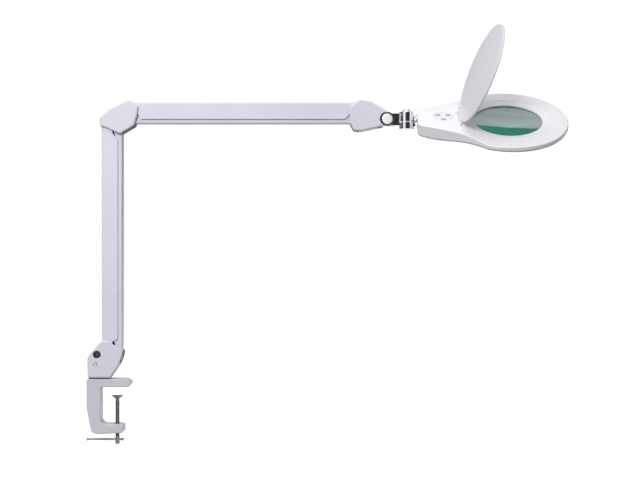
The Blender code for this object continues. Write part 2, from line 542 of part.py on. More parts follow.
def build_neck(finish, carriers):
    """The bracket at the end of the upper arm, and the tilt and swivel joints it carries."""
    carrier = carriers["head_bracket"]
    tongue_outline = wrap([(*HEAD_PIVOT, HUB_RADIUS), (*HEAD_BAR_PIVOT, BAR_HUB_RADIUS),
                           (*HEAD_SCREW_AT, 8.0), (*TILT_AT, 10.6)])
    tongue = side_slab(tongue_outline, -TONGUE_HALF, TONGUE_HALF)
    ear_space = EAR_RADIUS + 2.2
    cut(tongue, through(TILT_AT, ear_space, 24, -20, -5.0), through(TILT_AT, ear_space, 24, 5.0, 20),
        channel_hole(TILT_AT), channel_hole(HEAD_PIVOT), bar_hole(HEAD_BAR_PIVOT),
        screw_hole(HEAD_SCREW_AT))
    piece("head_bracket", tongue, finish["cast_metal"], carrier)
    outline = rounded([(430.0, 517.0, 4.0), (430.0, 485.5, 5.0), (436.5, 471.6, 8.0), (451.0, 471.0, 6.0),
                       (500.0, 481.5, 5.0), (500.0, 508.0, 5.0), (468.0, 526.6, 12.0), (447.0, 530.5, 10.0)])
    opening = [[(420, 540), (459, 540), (459, 500), (447, 490), (447, 460), (420, 460)],
               [(480, 540), (520, 540), (520, 460), (480, 460)]]
    bite = through(TILT_AT, KNOB_RADIUS + 0.9, 24)
    for front, name in ((True, "neck_cover_front"), (False, "neck_cover_rear")):
        half = cover(outline, opening, HEAD_SCREW_AT, front, False, [bite])
        piece(name, half, finish["white_paint"], carrier)
    piece("neck_cover_screw", cover_screw(HEAD_SCREW_AT, False), finish["steel"], carrier)
    piece("upper_head_pivot", channel_pin(HEAD_PIVOT), finish["steel"], carrier)
    piece("upper_head_bar_pivot", bar_pin(HEAD_BAR_PIVOT), finish["steel"], carrier)

    carrier = carriers["tilt_link"]
    tilt_x, tilt_z = TILT_AT
    bridge_left, bridge_right = 512.0, SWIVEL_AT_X - BARREL_RADIUS - 0.4
    ear_outline = wrap([(tilt_x, tilt_z, EAR_RADIUS), (514.0, 501.0, 3.5), (514.0, 485.0, 3.5)], 20)
    link = side_slab(ear_outline, -TONGUE_HALF, TONGUE_HALF)
    cut(link, box((tilt_x - 20, -5.4, tilt_z - 20), (bridge_left, 5.4, tilt_z + 20)))
    join(link, box((bridge_left, -TONGUE_HALF, 481.5), (bridge_right, TONGUE_HALF, 504.6)),
         box((bridge_left + 1, -9.5, BARREL_SEAM + GAP), (SWIVEL_AT_X - 6, 9.5, 503.6)),
         rod((SWIVEL_AT_X, 0, BARREL_SEAM + GAP), (SWIVEL_AT_X, 0, BARREL_TOP), BARREL_RADIUS, 24))
    bolt_hole = rod((SWIVEL_AT_X, 0, 470), (SWIVEL_AT_X, 0, 520), PIN_RADIUS + PIN_CLEARANCE)
    cut(link, channel_hole(TILT_AT), bolt_hole)
    piece("tilt_link", link, finish["chrome"], carrier)
    nut = side_slab(circle(TILT_AT, 7.2, 6), TONGUE_HALF + GAP, 16.0)
    piece("tilt_nut", cut(nut, channel_hole(TILT_AT)), finish["steel"], carrier)
    upright = Matrix.Translation((SWIVEL_AT_X * MM, 0, 0))
    bolt = turned([(0, 510.6), (2.6, 510.6), (3.0, 510.2), (3.0, 478.7), (6.0, 478.7), (6.0, 475.6),
                   (0, 475.6)], upright, 16)
    piece("swivel_bolt", bolt, finish["steel"], carrier)
    dome = turned([(0, 513.0), (3.0, 512.7), (5.6, 511.5), (7.1, 509.8), (7.4, 508.1), (3.4, 508.1),
                   (3.4, 510.9), (0, 510.9)], upright, 20)
    piece("swivel_dome_nut", dome, finish["chrome"], carrier)

    carrier = carriers["tilt_knob"]
    axis = pivot_frame(TILT_AT)
    knob = turned([(0, 22.0), (10.3, 22.0), (10.3, 23.4), (12.2, 23.4), (KNOB_RADIUS, 22.6),
                   (KNOB_RADIUS, 13.0), (12.2, 12.2), (3.4, 12.2), (3.4, 19.6), (0, 19.6)], axis, 20)
    piece("tilt_knob", knob, finish["black_plastic"], carrier)
    cap = turned([(0, 23.9), (9.2, 23.6), (10.0, 23.1), (10.0, 22.3), (0, 22.3)], axis, 20)
    piece("tilt_knob_cap", cap, finish["aluminium"], carrier)
    stud = turned([(0, 19.3), (PIN_RADIUS, 19.3), (PIN_RADIUS, -17.6), (2.4, -18.2), (0, -18.2)], axis, 14)
    piece("tilt_stud", stud, finish["steel"], carrier)

    carrier = carriers["swivel_block"]
    block = rod((SWIVEL_AT_X, 0, BARREL_BOTTOM), (SWIVEL_AT_X, 0, BARREL_SEAM - GAP), BARREL_RADIUS, 24)
    shaft_end = LENS_CENTRE_X + HANDLE_END + 17.0
    join(block, box((SWIVEL_AT_X + 4, -8.5, 479.5), (NECK_START + 1.5, 8.5, BARREL_SEAM - GAP)),
         rod((NECK_START, 0, ROLL_HEIGHT), (NECK_END, 0, ROLL_HEIGHT), NECK_RADIUS, 24),
         rod((NECK_START + 1, 0, ROLL_HEIGHT), (shaft_end, 0, ROLL_HEIGHT), 4.0, 16))
    cut(block, bolt_hole, rod((SWIVEL_AT_X, 0, 470), (SWIVEL_AT_X, 0, 479.0), 6.5, 20))
    piece("swivel_block", block, finish["chrome"], carrier)
    on_shaft = Matrix.Translation(((shaft_end - 3) * MM, 0, ROLL_HEIGHT * MM))
    ring = turned([(5.3, 1.0), (5.3, -1.0), (4.35, -1.0), (4.35, 1.0)],
                  on_shaft @ Matrix.Rotation(math.pi / 2, 4, "Y"), 16)
    piece("roll_retainer", ring, finish["steel"], carrier)


# ---------------------------------------------------------------- head

def smooth(amount):
    """0 to 1 with level ends."""
    amount = min(max(amount, 0.0), 1.0)
    return amount * amount * (3 - 2 * amount)


def head_top(x):
    """Height of the head's upper face."""
    rise = smooth((-55.0 - x) / 40.0)
    return RING_TOP + (HANDLE_TOP - RING_TOP) * rise - 2.1 * smooth((-140.0 - x) / 28.0)


def head_bottom(x):
    """Height of the head's lower face."""
    return RING_BOTTOM + (HANDLE_BOTTOM - RING_BOTTOM) * smooth((-45.0 - x) / 100.0)


def head_plan():
    """The head seen along the lens axis: a ring that flows into a tapering handle."""
    arc = []
    for step in range(11):
        angle = math.radians(114) * step / 10
        along = RING_REACH if angle < math.pi / 2 else RING_RADIUS
        arc.append((along * math.cos(angle), RING_RADIUS * math.sin(angle)))
    side = [(-62.0, 89.5), (-78.0, 76.0), (-98.0, 63.0), (-125.0, 50.0), (-148.0, 39.5), (-160.0, 32.5),
            (-166.0, 28.0)]
    half = arc + side + [(HANDLE_END, 23.5)]
    return half + [(x, -y) for x, y in reversed(half[1:])]


def profile_slab(lower, upper):
    """A slab across the head between two heights given along x, as functions."""
    along = [-175, -158, -141, -120, -98, -94, -84, -74, -64, -50, 125]
    outline = [(x, lower(x)) for x in along] + [(x, upper(x)) for x in reversed(along)]
    return slab(outline, -130, 130, HEAD @ SIDE)


def disc(radius, low, high, sides=RING_SIDES, at=(0.0, 0.0)):
    return rod((*at, low), (*at, high), radius, sides, HEAD)


def cavity_top(x):
    return head_top(x) - SHELL_WALL if x < -96 else RING_TOP - SHELL_WALL


SCREWS_AT = [(-92.0, -54.0), (-92.0, 54.0)]
BUTTONS = {"button_brighter": 35.0, "button_dimmer": 145.0, "button_power": 270.0}


def button_at(angle):
    turn = math.radians(angle)
    return (KEYPAD_X + BUTTON_RING * math.cos(turn), BUTTON_RING * math.sin(turn))


def build_shells(finish, carrier):
    plan = head_plan()
    seam = SEAM_ABOVE_BOTTOM
    upper = common(slab(plan, -22, 14, HEAD),
                   profile_slab(lambda x: head_bottom(x) + seam, head_top))
    cavity = common(slab(inset(plan, SHELL_WALL), -40, 14, HEAD), profile_slab(lambda x: -40, cavity_top))
    cut(cavity, disc(BOSS_RADIUS, GAP, 20))
    window = disc(LENS_WINDOW, -20, 20, RING_SIDES)
    bevel = rod((0, 0, RING_TOP - 2.8), (0, 0, RING_TOP + 0.2), LENS_WINDOW, RING_SIDES, HEAD,
                BEVEL_RADIUS + 1.0)
    middle = HINGE_X + LID_LENGTH / 2
    recess = slab([(middle + (LID_LENGTH / 2 + 1.2) * math.cos(a), (LID_WIDTH / 2 + 1.2) * math.sin(a))
                   for a in (2 * math.pi * i / RING_SIDES for i in range(RING_SIDES))], 6.6, 20, HEAD)
    groove = box((HINGE_X - 3.4, -HINGE_LUG + 0.5, 5.4), (HINGE_X + 8, HINGE_LUG - 0.5, 20), HEAD)
    cut(upper, cavity, window, bevel, recess, groove)
    for side in (-1, 1):
        inner, outer = sorted((side * HINGE_LUG, side * (HINGE_LUG + 6.5)))
        join(upper, box((HINGE_X - 3.0, inner, 4.0), (HINGE_X + 3.0, outer, HINGE_Z + 2.7), HEAD))
    join(upper, *[disc(4.0, head_bottom(x) + seam + GAP, 4.0, 12, (x, y)) for x, y in SCREWS_AT])
    lug_hole = rod((HINGE_X, -40, HINGE_Z), (HINGE_X, 40, HINGE_Z), 1.9, 12, HEAD)
    neck_hole = rod((HANDLE_END - 5, 0, 0), (HANDLE_END + 8, 0, 0), 4.5, 20, HEAD)
    lamp_at = (HINGE_X - 6.2, 12.0)
    keypad_hole = disc(KEYPAD_RADIUS + 0.4, 0, 20, 24, (KEYPAD_X, 0))
    cut(upper, lug_hole, neck_hole, keypad_hole, disc(1.6, 0, 20, 10, lamp_at),
        *[disc(1.3, -20, 0.5, 10, at) for at in SCREWS_AT])
    piece("head_upper_shell", upper, finish["gloss_white"], carrier)

    lower = common(slab(inset(plan, 0.8), -22, 14, HEAD),
                   profile_slab(head_bottom, lambda x: head_bottom(x) + seam - GAP))
    cut(lower, disc(LIGHT_OUTER + 0.4, -30, 20, RING_SIDES))
    cut(lower, *[disc(1.6, -30, 20, 10, at) for at in SCREWS_AT])
    cut(lower, *[disc(3.4, -30, head_bottom(at[0]) + 1.9, 12, at) for at in SCREWS_AT])
    piece("head_lower_shell", lower, finish["gloss_white"], carrier)
    for name, (x, y) in zip(("head_screw_near", "head_screw_far"), SCREWS_AT):
        low = head_bottom(x)
        screw = turned([(0, -1.0), (1.0, -1.0), (1.0, low + 1.5), (3.0, low + 1.5), (3.0, low + 0.4),
                        (0, low + 0.4)], HEAD @ Matrix.Translation((x * MM, y * MM, 0)), 12)
        piece(name, screw, finish["steel"], carrier)
    piece("lid_hinge_pin", rod((HINGE_X, -30.0, HINGE_Z), (HINGE_X, 30.0, HINGE_Z), 1.45, 12, HEAD),
          finish["steel"], carrier)
    lamp = turned([(0, 10.4), (0.8, 10.2), (1.2, 9.6), (1.2, 6.0), (0, 6.0)],
                  HEAD @ Matrix.Translation((lamp_at[0] * MM, lamp_at[1] * MM, 0)), 10)
    piece("indicator_light", lamp, finish["black_plastic"], carrier)


def build_optics(finish, carrier):
    bottom_edge = LENS_TOP_EDGE - LENS_EDGE
    radii = [0, 30, 52, LENS_RADIUS]
    crown = [LENS_BULGE * (1 - (r / LENS_RADIUS) ** 2) for r in radii]
    face = [(r, LENS_TOP_EDGE + h) for r, h in zip(radii, crown)]
    back = [(r, bottom_edge - h) for r, h in zip(radii, crown)]
    piece("lens", turned(face + back[::-1], HEAD, RING_SIDES), finish["glass"], carrier)
    gasket = [(68.7, 0.0), (68.7, -4.0), (66.4, -4.0), (66.4, -0.35), (64.0, -0.35), (64.0, 0.0)]
    piece("lens_gasket", turned(gasket, HEAD, RING_SIDES), finish["black_rubber"], carrier)
    retainer = [(71.8, 0.0), (71.8, RING_BOTTOM), (64.2, RING_BOTTOM), (64.2, -4.6), (69.1, -4.6),
                (69.1, 0.0)]
    piece("lens_retainer", turned(retainer, HEAD, RING_SIDES), finish["gloss_white"], carrier)
    board = [(100.0, -2.2), (100.0, -3.8), (74.0, -3.8), (74.0, -2.2)]
    piece("led_board", turned(board, HEAD, RING_SIDES), finish["circuit_board"], carrier)
    diffuser = [(LIGHT_OUTER, -4.3), (LIGHT_OUTER, RING_BOTTOM), (LIGHT_INNER, RING_BOTTOM),
                (LIGHT_INNER, -4.3)]
    piece("light_diffuser", turned(diffuser, HEAD, RING_SIDES), finish["frosted_plastic"], carrier)


def build_controls(finish, carrier, button_carriers):
    board = box((-146.0, -22.0, -6.0), (-102.0, 22.0, -4.6), HEAD)
    piece("control_board", board, finish["circuit_board"], carrier)
    panel = disc(KEYPAD_RADIUS, 7.9, HANDLE_TOP - 0.05, 24, (KEYPAD_X, 0))
    cut(panel, *[disc(BUTTON_RADIUS + 0.4, 0, 20, 14, button_at(a)) for a in BUTTONS.values()])
    piece("keypad_panel", panel, finish["gloss_white"], carrier)
    for name, angle in BUTTONS.items():
        x, y = button_at(angle)
        button = turned([(0, 10.6), (3.9, 10.7), (BUTTON_RADIUS, 10.3), (BUTTON_RADIUS, 7.6), (5.4, 7.6),
                         (5.4, 6.4), (1.5, 6.4), (1.5, -3.4), (0, -3.4)],
                        HEAD @ Matrix.Translation((x * MM, y * MM, 0)), 12)
        piece(name, button, finish["grey_plastic"], button_carriers[name])


def build_lid(finish, carrier):
    half = LID_LENGTH / 2
    wall = half - 2.0
    outside = [(r, LID_DOME * (1 - (r / half) ** 2) + LID_THICK / 2) for r in (0, 40, 72, half)]
    inside = [(r, LID_DOME * (1 - (r / half) ** 2) - LID_THICK / 2) for r in (0, 40, 72, wall)]
    inside += [(wall, -LID_SKIRT), (half, -LID_SKIRT)]
    opened = (HEAD @ Matrix.Translation((HINGE_X * MM, 0, HINGE_Z * MM))
              @ Matrix.Rotation(-LID_OPEN, 4, "Y"))
    plate = turned(outside + inside[::-1], opened @ Matrix.Translation((half * MM, 0, 0))
                   @ Matrix.Diagonal((1, LID_WIDTH / LID_LENGTH, 1, 1)), RING_SIDES)
    cut(plate, box((-10, -100, -10), (SKIRT_START, 100, -LID_THICK / 2), opened))
    for side in (-1, 1):
        inner, outer = sorted((side * (HINGE_LUG - 0.5), side * (HINGE_LUG + 7.0)))
        cut(plate, box((-10, inner, -10), (9.0, outer, 10), opened))
    cut(plate, box((-6, -HINGE_LUG, -10), (3.2, HINGE_LUG, 10), opened))
    join(plate, box((0.5, -20.0, -0.95), (8.0, 20.0, 1.0), opened),
         rod((0, -HINGE_LUG + 0.9, 0), (0, HINGE_LUG - 0.9, 0), 2.7, 16, opened))
    cut(plate, rod((0, -40, 0), (0, 40, 0), 1.9, 12, opened))
    piece("lid", plate, finish["lid_plastic"], carrier)


# ---------------------------------------------------------------- the whole lamp

def build_lamp():
    for old in list(bpy.data.objects):
        bpy.data.objects.remove(old)
    for collection in (PARTS, CUTTERS):
        bpy.context.scene.collection.children.link(collection)
    finish = {
        "clamp_paint": material("clamp_paint", (0.62, 0.62, 0.68), 0.45),
        "white_paint": material("white_paint", (0.74, 0.74, 0.80), 0.42),
        "gloss_white": material("gloss_white", (0.86, 0.86, 0.88), 0.25),
        "lid_plastic": material("lid_plastic", (0.70, 0.70, 0.74), 0.35),
        "cast_metal": material("cast_metal", (0.45, 0.45, 0.47), 0.5, 0.9),
        "chrome": material("chrome", (0.80, 0.80, 0.82), 0.08, 1.0),
        "steel": material("steel", (0.50, 0.49, 0.46), 0.3, 1.0),
        "spring_steel": material("spring_steel", (0.35, 0.35, 0.36), 0.35, 1.0),
        "aluminium": material("aluminium", (0.78, 0.78, 0.80), 0.3, 1.0),
        "brass": material("brass", (0.75, 0.60, 0.30), 0.3, 1.0),
        "black_plastic": material("black_plastic", (0.015, 0.015, 0.018), 0.4),
        "grey_plastic": material("grey_plastic", (0.50, 0.50, 0.53), 0.4),
        "black_rubber": material("black_rubber", (0.02, 0.02, 0.02), 0.7),
        "nylon": material("nylon", (0.60, 0.60, 0.60), 0.5),
        "glass": material("glass", (0.55, 0.72, 0.68), 0.05),
        "frosted_plastic": material("frosted_plastic", (0.85, 0.87, 0.88), 0.6),
        "circuit_board": material("circuit_board", (0.05, 0.25, 0.12), 0.5),
    }
    at_bar = (0, 0, BAR_HEIGHT)
    carriers = {"clamp_pad": joint_empty("clamp_pad_slide", (0, 0, PAD_TOP))}
    carriers["clamp_screw"] = joint_empty("clamp_screw_turn", (0, 0, 0), carriers["clamp_pad"])
    carriers["tommy_bar"] = joint_empty("tommy_bar_slide", at_bar, carriers["clamp_screw"])
    chain = [
        ("swivel", (SWIVEL_X, 0, PLATE_TOP), None),
        ("lower_channel", (BASE_PIVOT[0], 0, BASE_PIVOT[1]), "swivel"),
        ("lower_bar", (BASE_BAR_PIVOT[0], 0, BASE_BAR_PIVOT[1]), "swivel"),
        ("elbow", (ELBOW_PIVOT[0], 0, ELBOW_PIVOT[1]), "lower_channel"),
        ("upper_channel", (UPPER_PIVOT[0], 0, UPPER_PIVOT[1]), "elbow"),
        ("upper_bar", (UPPER_BAR_PIVOT[0], 0, UPPER_BAR_PIVOT[1]), "elbow"),
        ("head_bracket", (HEAD_PIVOT[0], 0, HEAD_PIVOT[1]), "upper_channel"),
        ("tilt_link", (TILT_AT[0], 0, TILT_AT[1]), "head_bracket"),
        ("tilt_knob", (TILT_AT[0], 0, TILT_AT[1]), "tilt_link"),
        ("swivel_block", (SWIVEL_AT_X, 0, BARREL_SEAM), "tilt_link"),
        ("head", (NECK_END, 0, ROLL_HEIGHT), "swivel_block"),
    ]
    for name, at, parent in chain:
        carriers[name] = joint_empty(name + "_joint", at, carriers.get(parent))
    hinge = HEAD @ Vector((HINGE_X * MM, 0, HINGE_Z * MM)) / MM
    carriers["lid"] = joint_empty("lid_joint", hinge, carriers["head"])
    for name, angle in BUTTONS.items():
        at = HEAD @ (Vector((*button_at(angle), HANDLE_TOP)) * MM) / MM
        carriers[name] = joint_empty(name + "_slide", at, carriers["head"])
    build_clamp(finish, carriers)
    build_base(finish, carriers["swivel"])
    build_elbow(finish, carriers["elbow"])
    build_arms(finish, carriers)
    build_neck(finish, carriers)
    build_shells(finish, carriers["head"])
    build_optics(finish, carriers["head"])
    build_controls(finish, carriers["head"], carriers)
    build_lid(finish, carriers["lid"])


build_lamp()
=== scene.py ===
"""Look of the magnifying desk lamp: finer pieces, finishes, studio light and camera.

Lengths in the shape helpers are millimetres, placed in the frame's own axes.
"""
import math

import bmesh
import bpy
from mathutils import Matrix, Vector


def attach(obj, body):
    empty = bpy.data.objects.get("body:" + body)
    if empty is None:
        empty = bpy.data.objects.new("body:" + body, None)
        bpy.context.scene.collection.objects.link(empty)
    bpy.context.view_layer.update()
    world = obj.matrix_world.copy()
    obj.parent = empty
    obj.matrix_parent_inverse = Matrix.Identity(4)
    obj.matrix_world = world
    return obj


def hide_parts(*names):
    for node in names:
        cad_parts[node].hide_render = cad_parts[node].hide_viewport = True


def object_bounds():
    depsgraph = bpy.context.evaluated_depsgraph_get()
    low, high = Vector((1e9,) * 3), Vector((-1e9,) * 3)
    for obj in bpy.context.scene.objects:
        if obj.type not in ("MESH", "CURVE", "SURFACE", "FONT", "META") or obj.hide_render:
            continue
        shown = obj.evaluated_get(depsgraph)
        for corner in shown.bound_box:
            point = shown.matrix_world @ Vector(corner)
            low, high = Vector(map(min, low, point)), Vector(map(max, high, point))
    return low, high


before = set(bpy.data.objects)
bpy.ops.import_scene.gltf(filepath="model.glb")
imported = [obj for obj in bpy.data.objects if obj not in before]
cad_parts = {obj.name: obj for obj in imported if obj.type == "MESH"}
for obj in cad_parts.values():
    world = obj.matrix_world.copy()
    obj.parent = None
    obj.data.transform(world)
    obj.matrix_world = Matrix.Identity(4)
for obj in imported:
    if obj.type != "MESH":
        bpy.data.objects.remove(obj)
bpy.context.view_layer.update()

MM = 0.001
WORLD = Matrix.Identity(4)
SIDE = Matrix.Rotation(math.pi / 2, 4, "X")

# Places that the finer pieces share with the CAD solids, as (X, Z) or a single height or distance
SWIVEL_X = -42.0
ARM_LENGTH = 425.0
BASE_PIVOT, BASE_BAR_PIVOT = (-14.4, 64.6), (3.9, 53.5)
ELBOW_PIVOT, ELBOW_BAR_PIVOT = (-14.4, 489.6), (3.9, 478.5)
UPPER_PIVOT, UPPER_BAR_PIVOT = (27.0, 511.7), (25.0, 491.6)
HEAD_PIVOT, HEAD_BAR_PIVOT = (452.0, 511.7), (450.0, 491.6)
BASE_SCREW_AT, ELBOW_SCREW_AT, HEAD_SCREW_AT = (-38.1, 42.0), (4.0, 500.0), (473.0, 501.0)
INLET_AT = (-35.3, 60.4)
TILT_AT = (498.6, 493.3)
SWIVEL_AT_X, SEAM = 535.0, 489.0
ROLL_HEIGHT = 490.0
HEAD = Matrix.Translation((0.7225, 0, 0.490)) @ Matrix.Rotation(math.radians(30.4), 4, "X")
HINGE_X, HINGE_Z = -89.0, 8.7
LID_OPEN = math.radians(68.7)
KEYPAD_X = -120.0
INDICATOR_AT = (HINGE_X - 6.2, 12.0)
HEAD_SCREWS = {"head_screw_near": (-92.0, -54.0), "head_screw_far": (-92.0, 54.0)}
COVER_HALF, COVER_WALL, COVER_EDGE = 22.0, 2.2, 3.6
BARREL, SEAM_GAP = 13.8, 0.3
SHARPEST_MITRE = 0.5
ON_AXIS = 1e-6


# ---------------------------------------------------------------- outlines

def rounded(corners, steps=8):
    """An outline through corners (x, y, radius), each turned by an arc of that radius."""
    outline = []
    for index, (x, y, radius) in enumerate(corners):
        corner = Vector((x, y))
        back = (Vector(corners[index - 1][:2]) - corner).normalized()
        ahead = (Vector(corners[(index + 1) % len(corners)][:2]) - corner).normalized()
        if radius == 0:
            outline.append((x, y))
            continue
        half = back.angle(ahead) / 2
        centre = corner + (back + ahead).normalized() * radius / math.sin(half)
        first = corner + back * radius / math.tan(half) - centre
        last = corner + ahead * radius / math.tan(half) - centre
        sweep = math.atan2(first.cross(last), first.dot(last))
        for step in range(steps + 1):
            outline.append(tuple(centre + Matrix.Rotation(sweep * step / steps, 2) @ first))
    return outline


def polar(radius, angle, centre=(0, 0)):
    return centre[0] + radius * math.cos(angle), centre[1] + radius * math.sin(angle)


def circle(centre, radius, sides=64):
    return [polar(radius, 2 * math.pi * side / sides, centre) for side in range(sides)]


def between(start, end, share):
    """The point a share of the way from one (x, y) to another."""
    return tuple(a + (b - a) * share for a, b in zip(start, end))


def span(side, start, end):
    """Two distances to one side of the middle plane, the lower one first."""
    return sorted((side * start, side * end))


def wrap(circles, sides=64):
    """The outline of a belt drawn tight around circles (x, y, radius)."""
    points = sorted(p for x, y, radius in circles for p in circle((x, y), radius, sides))
    hull = []
    for ordered in (points, points[::-1]):
        chain = []
        for p in ordered:
            while len(chain) > 1 and ((chain[-1][0] - chain[-2][0]) * (p[1] - chain[-2][1])
                                      <= (chain[-1][1] - chain[-2][1]) * (p[0] - chain[-2][0])):
                chain.pop()
            chain.append(p)
        hull += chain[:-1]
    return hull


def area_of(outline):
    return sum(a[0] * b[1] - b[0] * a[1] for a, b in zip(outline, outline[1:] + outline[:1]))


def inset(outline, distance):
    """An outline moved inwards by a distance."""
    inward = distance if area_of(outline) > 0 else -distance
    moved = []
    for index, point in enumerate(outline):
        here, before = Vector(point), Vector(outline[index - 1])
        after = Vector(outline[(index + 1) % len(outline)])
        normals = [Vector((-side.y, side.x)).normalized() for side in (here - before, after - here)]
        middle = (normals[0] + normals[1]).normalized()
        moved.append(tuple(here + middle * inward / max(middle.dot(normals[0]), SHARPEST_MITRE)))
    return moved


def quarter(amount, steps):
    """(distance in, distance down) pairs around a rounded edge, from the wall to the face."""
    turns = [math.pi / 2 * step / steps for step in range(steps + 1)]
    return [(amount * (1 - math.cos(a)), amount * (1 - math.sin(a))) for a in turns]


# ---------------------------------------------------------------- shapes

def place(shape, frame_at=WORLD):
    mesh = bpy.data.meshes.new("shape")
    bmesh.ops.recalc_face_normals(shape, faces=shape.faces)
    shape.to_mesh(mesh)
    shape.free()
    obj = bpy.data.objects.new("shape", mesh)
    mesh.transform(frame_at)
    bpy.context.scene.collection.objects.link(obj)
    return obj


def loft(rings, caps=True):
    """A skin over rings of points (x, y, z), with end caps or closed on itself."""
    shape = bmesh.new()
    rows = [[shape.verts.new(Vector(p) * MM) for p in ring] for ring in rings]
    pairs = list(zip(rows, rows[1:]))
    if not caps:
        pairs.append((rows[-1], rows[0]))
    for low, high in pairs:
        count = len(low)
        for i in range(count):
            shape.faces.new((low[i], low[(i + 1) % count], high[(i + 1) % count], high[i]))
    if caps:
        shape.faces.new(rows[0][::-1])
        shape.faces.new(rows[-1])
    return shape


def slab(outline, low, high, frame_at=WORLD, edge=0.0, steps=5):
    """A flat outline made solid between two heights, with rounded edges if asked."""
    if area_of(outline) < 0:
        outline = outline[::-1]
    if edge:
        turn = quarter(edge, steps)
        rings = [[(x, y, low + down) for x, y in inset(outline, move)] for move, down in reversed(turn)]
        rings += [[(x, y, high - down) for x, y in inset(outline, move)] for move, down in turn]
    else:
        rings = [[(x, y, z) for x, y in outline] for z in (low, high)]
    return place(loft(rings), frame_at)


def side_slab(outline, near, far, edge=0.0, steps=5):
    """An (X, Z) outline made solid from Y = near to Y = far."""
    return slab(outline, -far, -near, SIDE, edge, steps)


def box(low, high, frame_at=WORLD, edge=0.0):
    return slab([(low[0], low[1]), (high[0], low[1]), (high[0], high[1]), (low[0], high[1])],
                low[2], high[2], frame_at, edge, 2)


def rod(start, end, radius, sides=64, frame_at=WORLD):
    start, end = Vector(start), Vector(end)
    turn = (end - start).to_track_quat("Z", "Y").to_matrix().to_4x4()
    return slab(circle((0, 0), radius, sides), 0, (end - start).length,
                frame_at @ Matrix.Translation(start * MM) @ turn)


def turned(profile, frame_at=WORLD, sides=96):
    """A (radius, height, corner radius) profile turned about the frame's Z axis."""
    points = rounded([p if len(p) == 3 else (*p, 0) for p in profile], 4)
    shape = bmesh.new()
    rows = []
    for radius, height in points:
        ring = [(0, 0)] if radius <= ON_AXIS else circle((0, 0), radius, sides)
        rows.append([shape.verts.new((x * MM, y * MM, height * MM)) for x, y in ring])
    pairs = list(zip(rows, rows[1:]))
    if points[0][0] > ON_AXIS:
        pairs.append((rows[-1], rows[0]))
    for a, b in pairs:
        for i in range(sides):
            j = (i + 1) % sides
            if len(a) == 1 and len(b) == 1:
                break
            if len(a) == 1:
                shape.faces.new((a[0], b[i], b[j]))
            elif len(b) == 1:
                shape.faces.new((a[i], b[0], a[j]))
            else:
                shape.faces.new((a[i], b[i], b[j], a[j]))
    return place(shape, frame_at)


def settle(obj):
    """Apply an object's modifiers to its mesh."""
    bpy.context.view_layer.update()
    evaluated = obj.evaluated_get(bpy.context.evaluated_depsgraph_get())
    mesh = bpy.data.meshes.new_from_object(evaluated)
    obj.modifiers.clear()
    old = obj.data
    obj.data = mesh
    bpy.data.meshes.remove(old)
    return obj


def boolean(target, operation, tools):
    for tool in tools:
        modifier = target.modifiers.new(operation.title(), "BOOLEAN")
        modifier.operation = operation
        modifier.solver = "EXACT"
        modifier.object = tool
    settle(target)
    for tool in set(tools):
        bpy.data.objects.remove(tool)
    return target


def cut(target, *tools):
    return boolean(target, "DIFFERENCE", tools)


def join(target, *tools):
    return boolean(target, "UNION", tools)


def common(target, *tools):
    return boolean(target, "INTERSECT", tools)


def tube(points, radius, frame_at, resolution):
    """A round wire along points."""
    curve = bpy.data.curves.new("wire", "CURVE")
    curve.dimensions = "3D"
    curve.bevel_depth = radius * MM
    curve.bevel_resolution = resolution
    curve.use_fill_caps = True
    line = curve.splines.new("POLY")
    line.points.add(len(points) - 1)
    for point, at in zip(line.points, points):
        point.co = (*(Vector(at) * MM), 1)
    drawn = bpy.data.objects.new("wire", curve)
    bpy.context.scene.collection.objects.link(drawn)
    bpy.context.view_layer.update()
    mesh = bpy.data.meshes.new_from_object(drawn.evaluated_get(bpy.context.evaluated_depsgraph_get()))
    bpy.data.objects.remove(drawn)
    bpy.data.curves.remove(curve)
    shape = bmesh.new()
    shape.from_mesh(mesh)
    bpy.data.meshes.remove(mesh)
    return place(shape, frame_at)


def merge(*objects):
    """Several meshes as one object, without joining their surfaces."""
    shape = bmesh.new()
    for obj in objects:
        shape.from_mesh(obj.data)
        bpy.data.objects.remove(obj)
    mesh = bpy.data.meshes.new("shape")
    shape.to_mesh(mesh)
    shape.free()
    obj = bpy.data.objects.new("shape", mesh)
    bpy.context.scene.collection.objects.link(obj)
    return obj


def piece(name, obj, body, finish, slot, *nodes, angle=32):
    """Name a finished shape, give it its material and let it ride on its body."""
    obj.name = name
    obj.data.name = name
    obj.data.materials.clear()
    obj.data.materials.append(finish)
    obj.data.shade_smooth()
    obj.data.set_sharp_from_angle(angle=math.radians(angle))
    weighted = obj.modifiers.new("Weighted normals", "WEIGHTED_NORMAL")
    weighted.keep_sharp = True
    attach(obj, body)
    if nodes:
        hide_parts(*nodes)
    return obj


def upright_at(x, y=0.0, z=0.0):
    return Matrix.Translation((x * MM, y * MM, z * MM))


def pivot_frame(at, front=True):
    """A frame at an (X, Z) place whose own Z axis points out of the front, or of the back."""
    made = Matrix.Translation((at[0] * MM, 0, at[1] * MM)) @ SIDE
    return made if front else made @ Matrix.Rotation(math.pi, 4, "X")


def through(at, radius, near=-30.0, far=30.0, sides=64):
    return rod((at[0], near, at[1]), (at[0], far, at[1]), radius, sides)


# ---------------------------------------------------------------- finishes

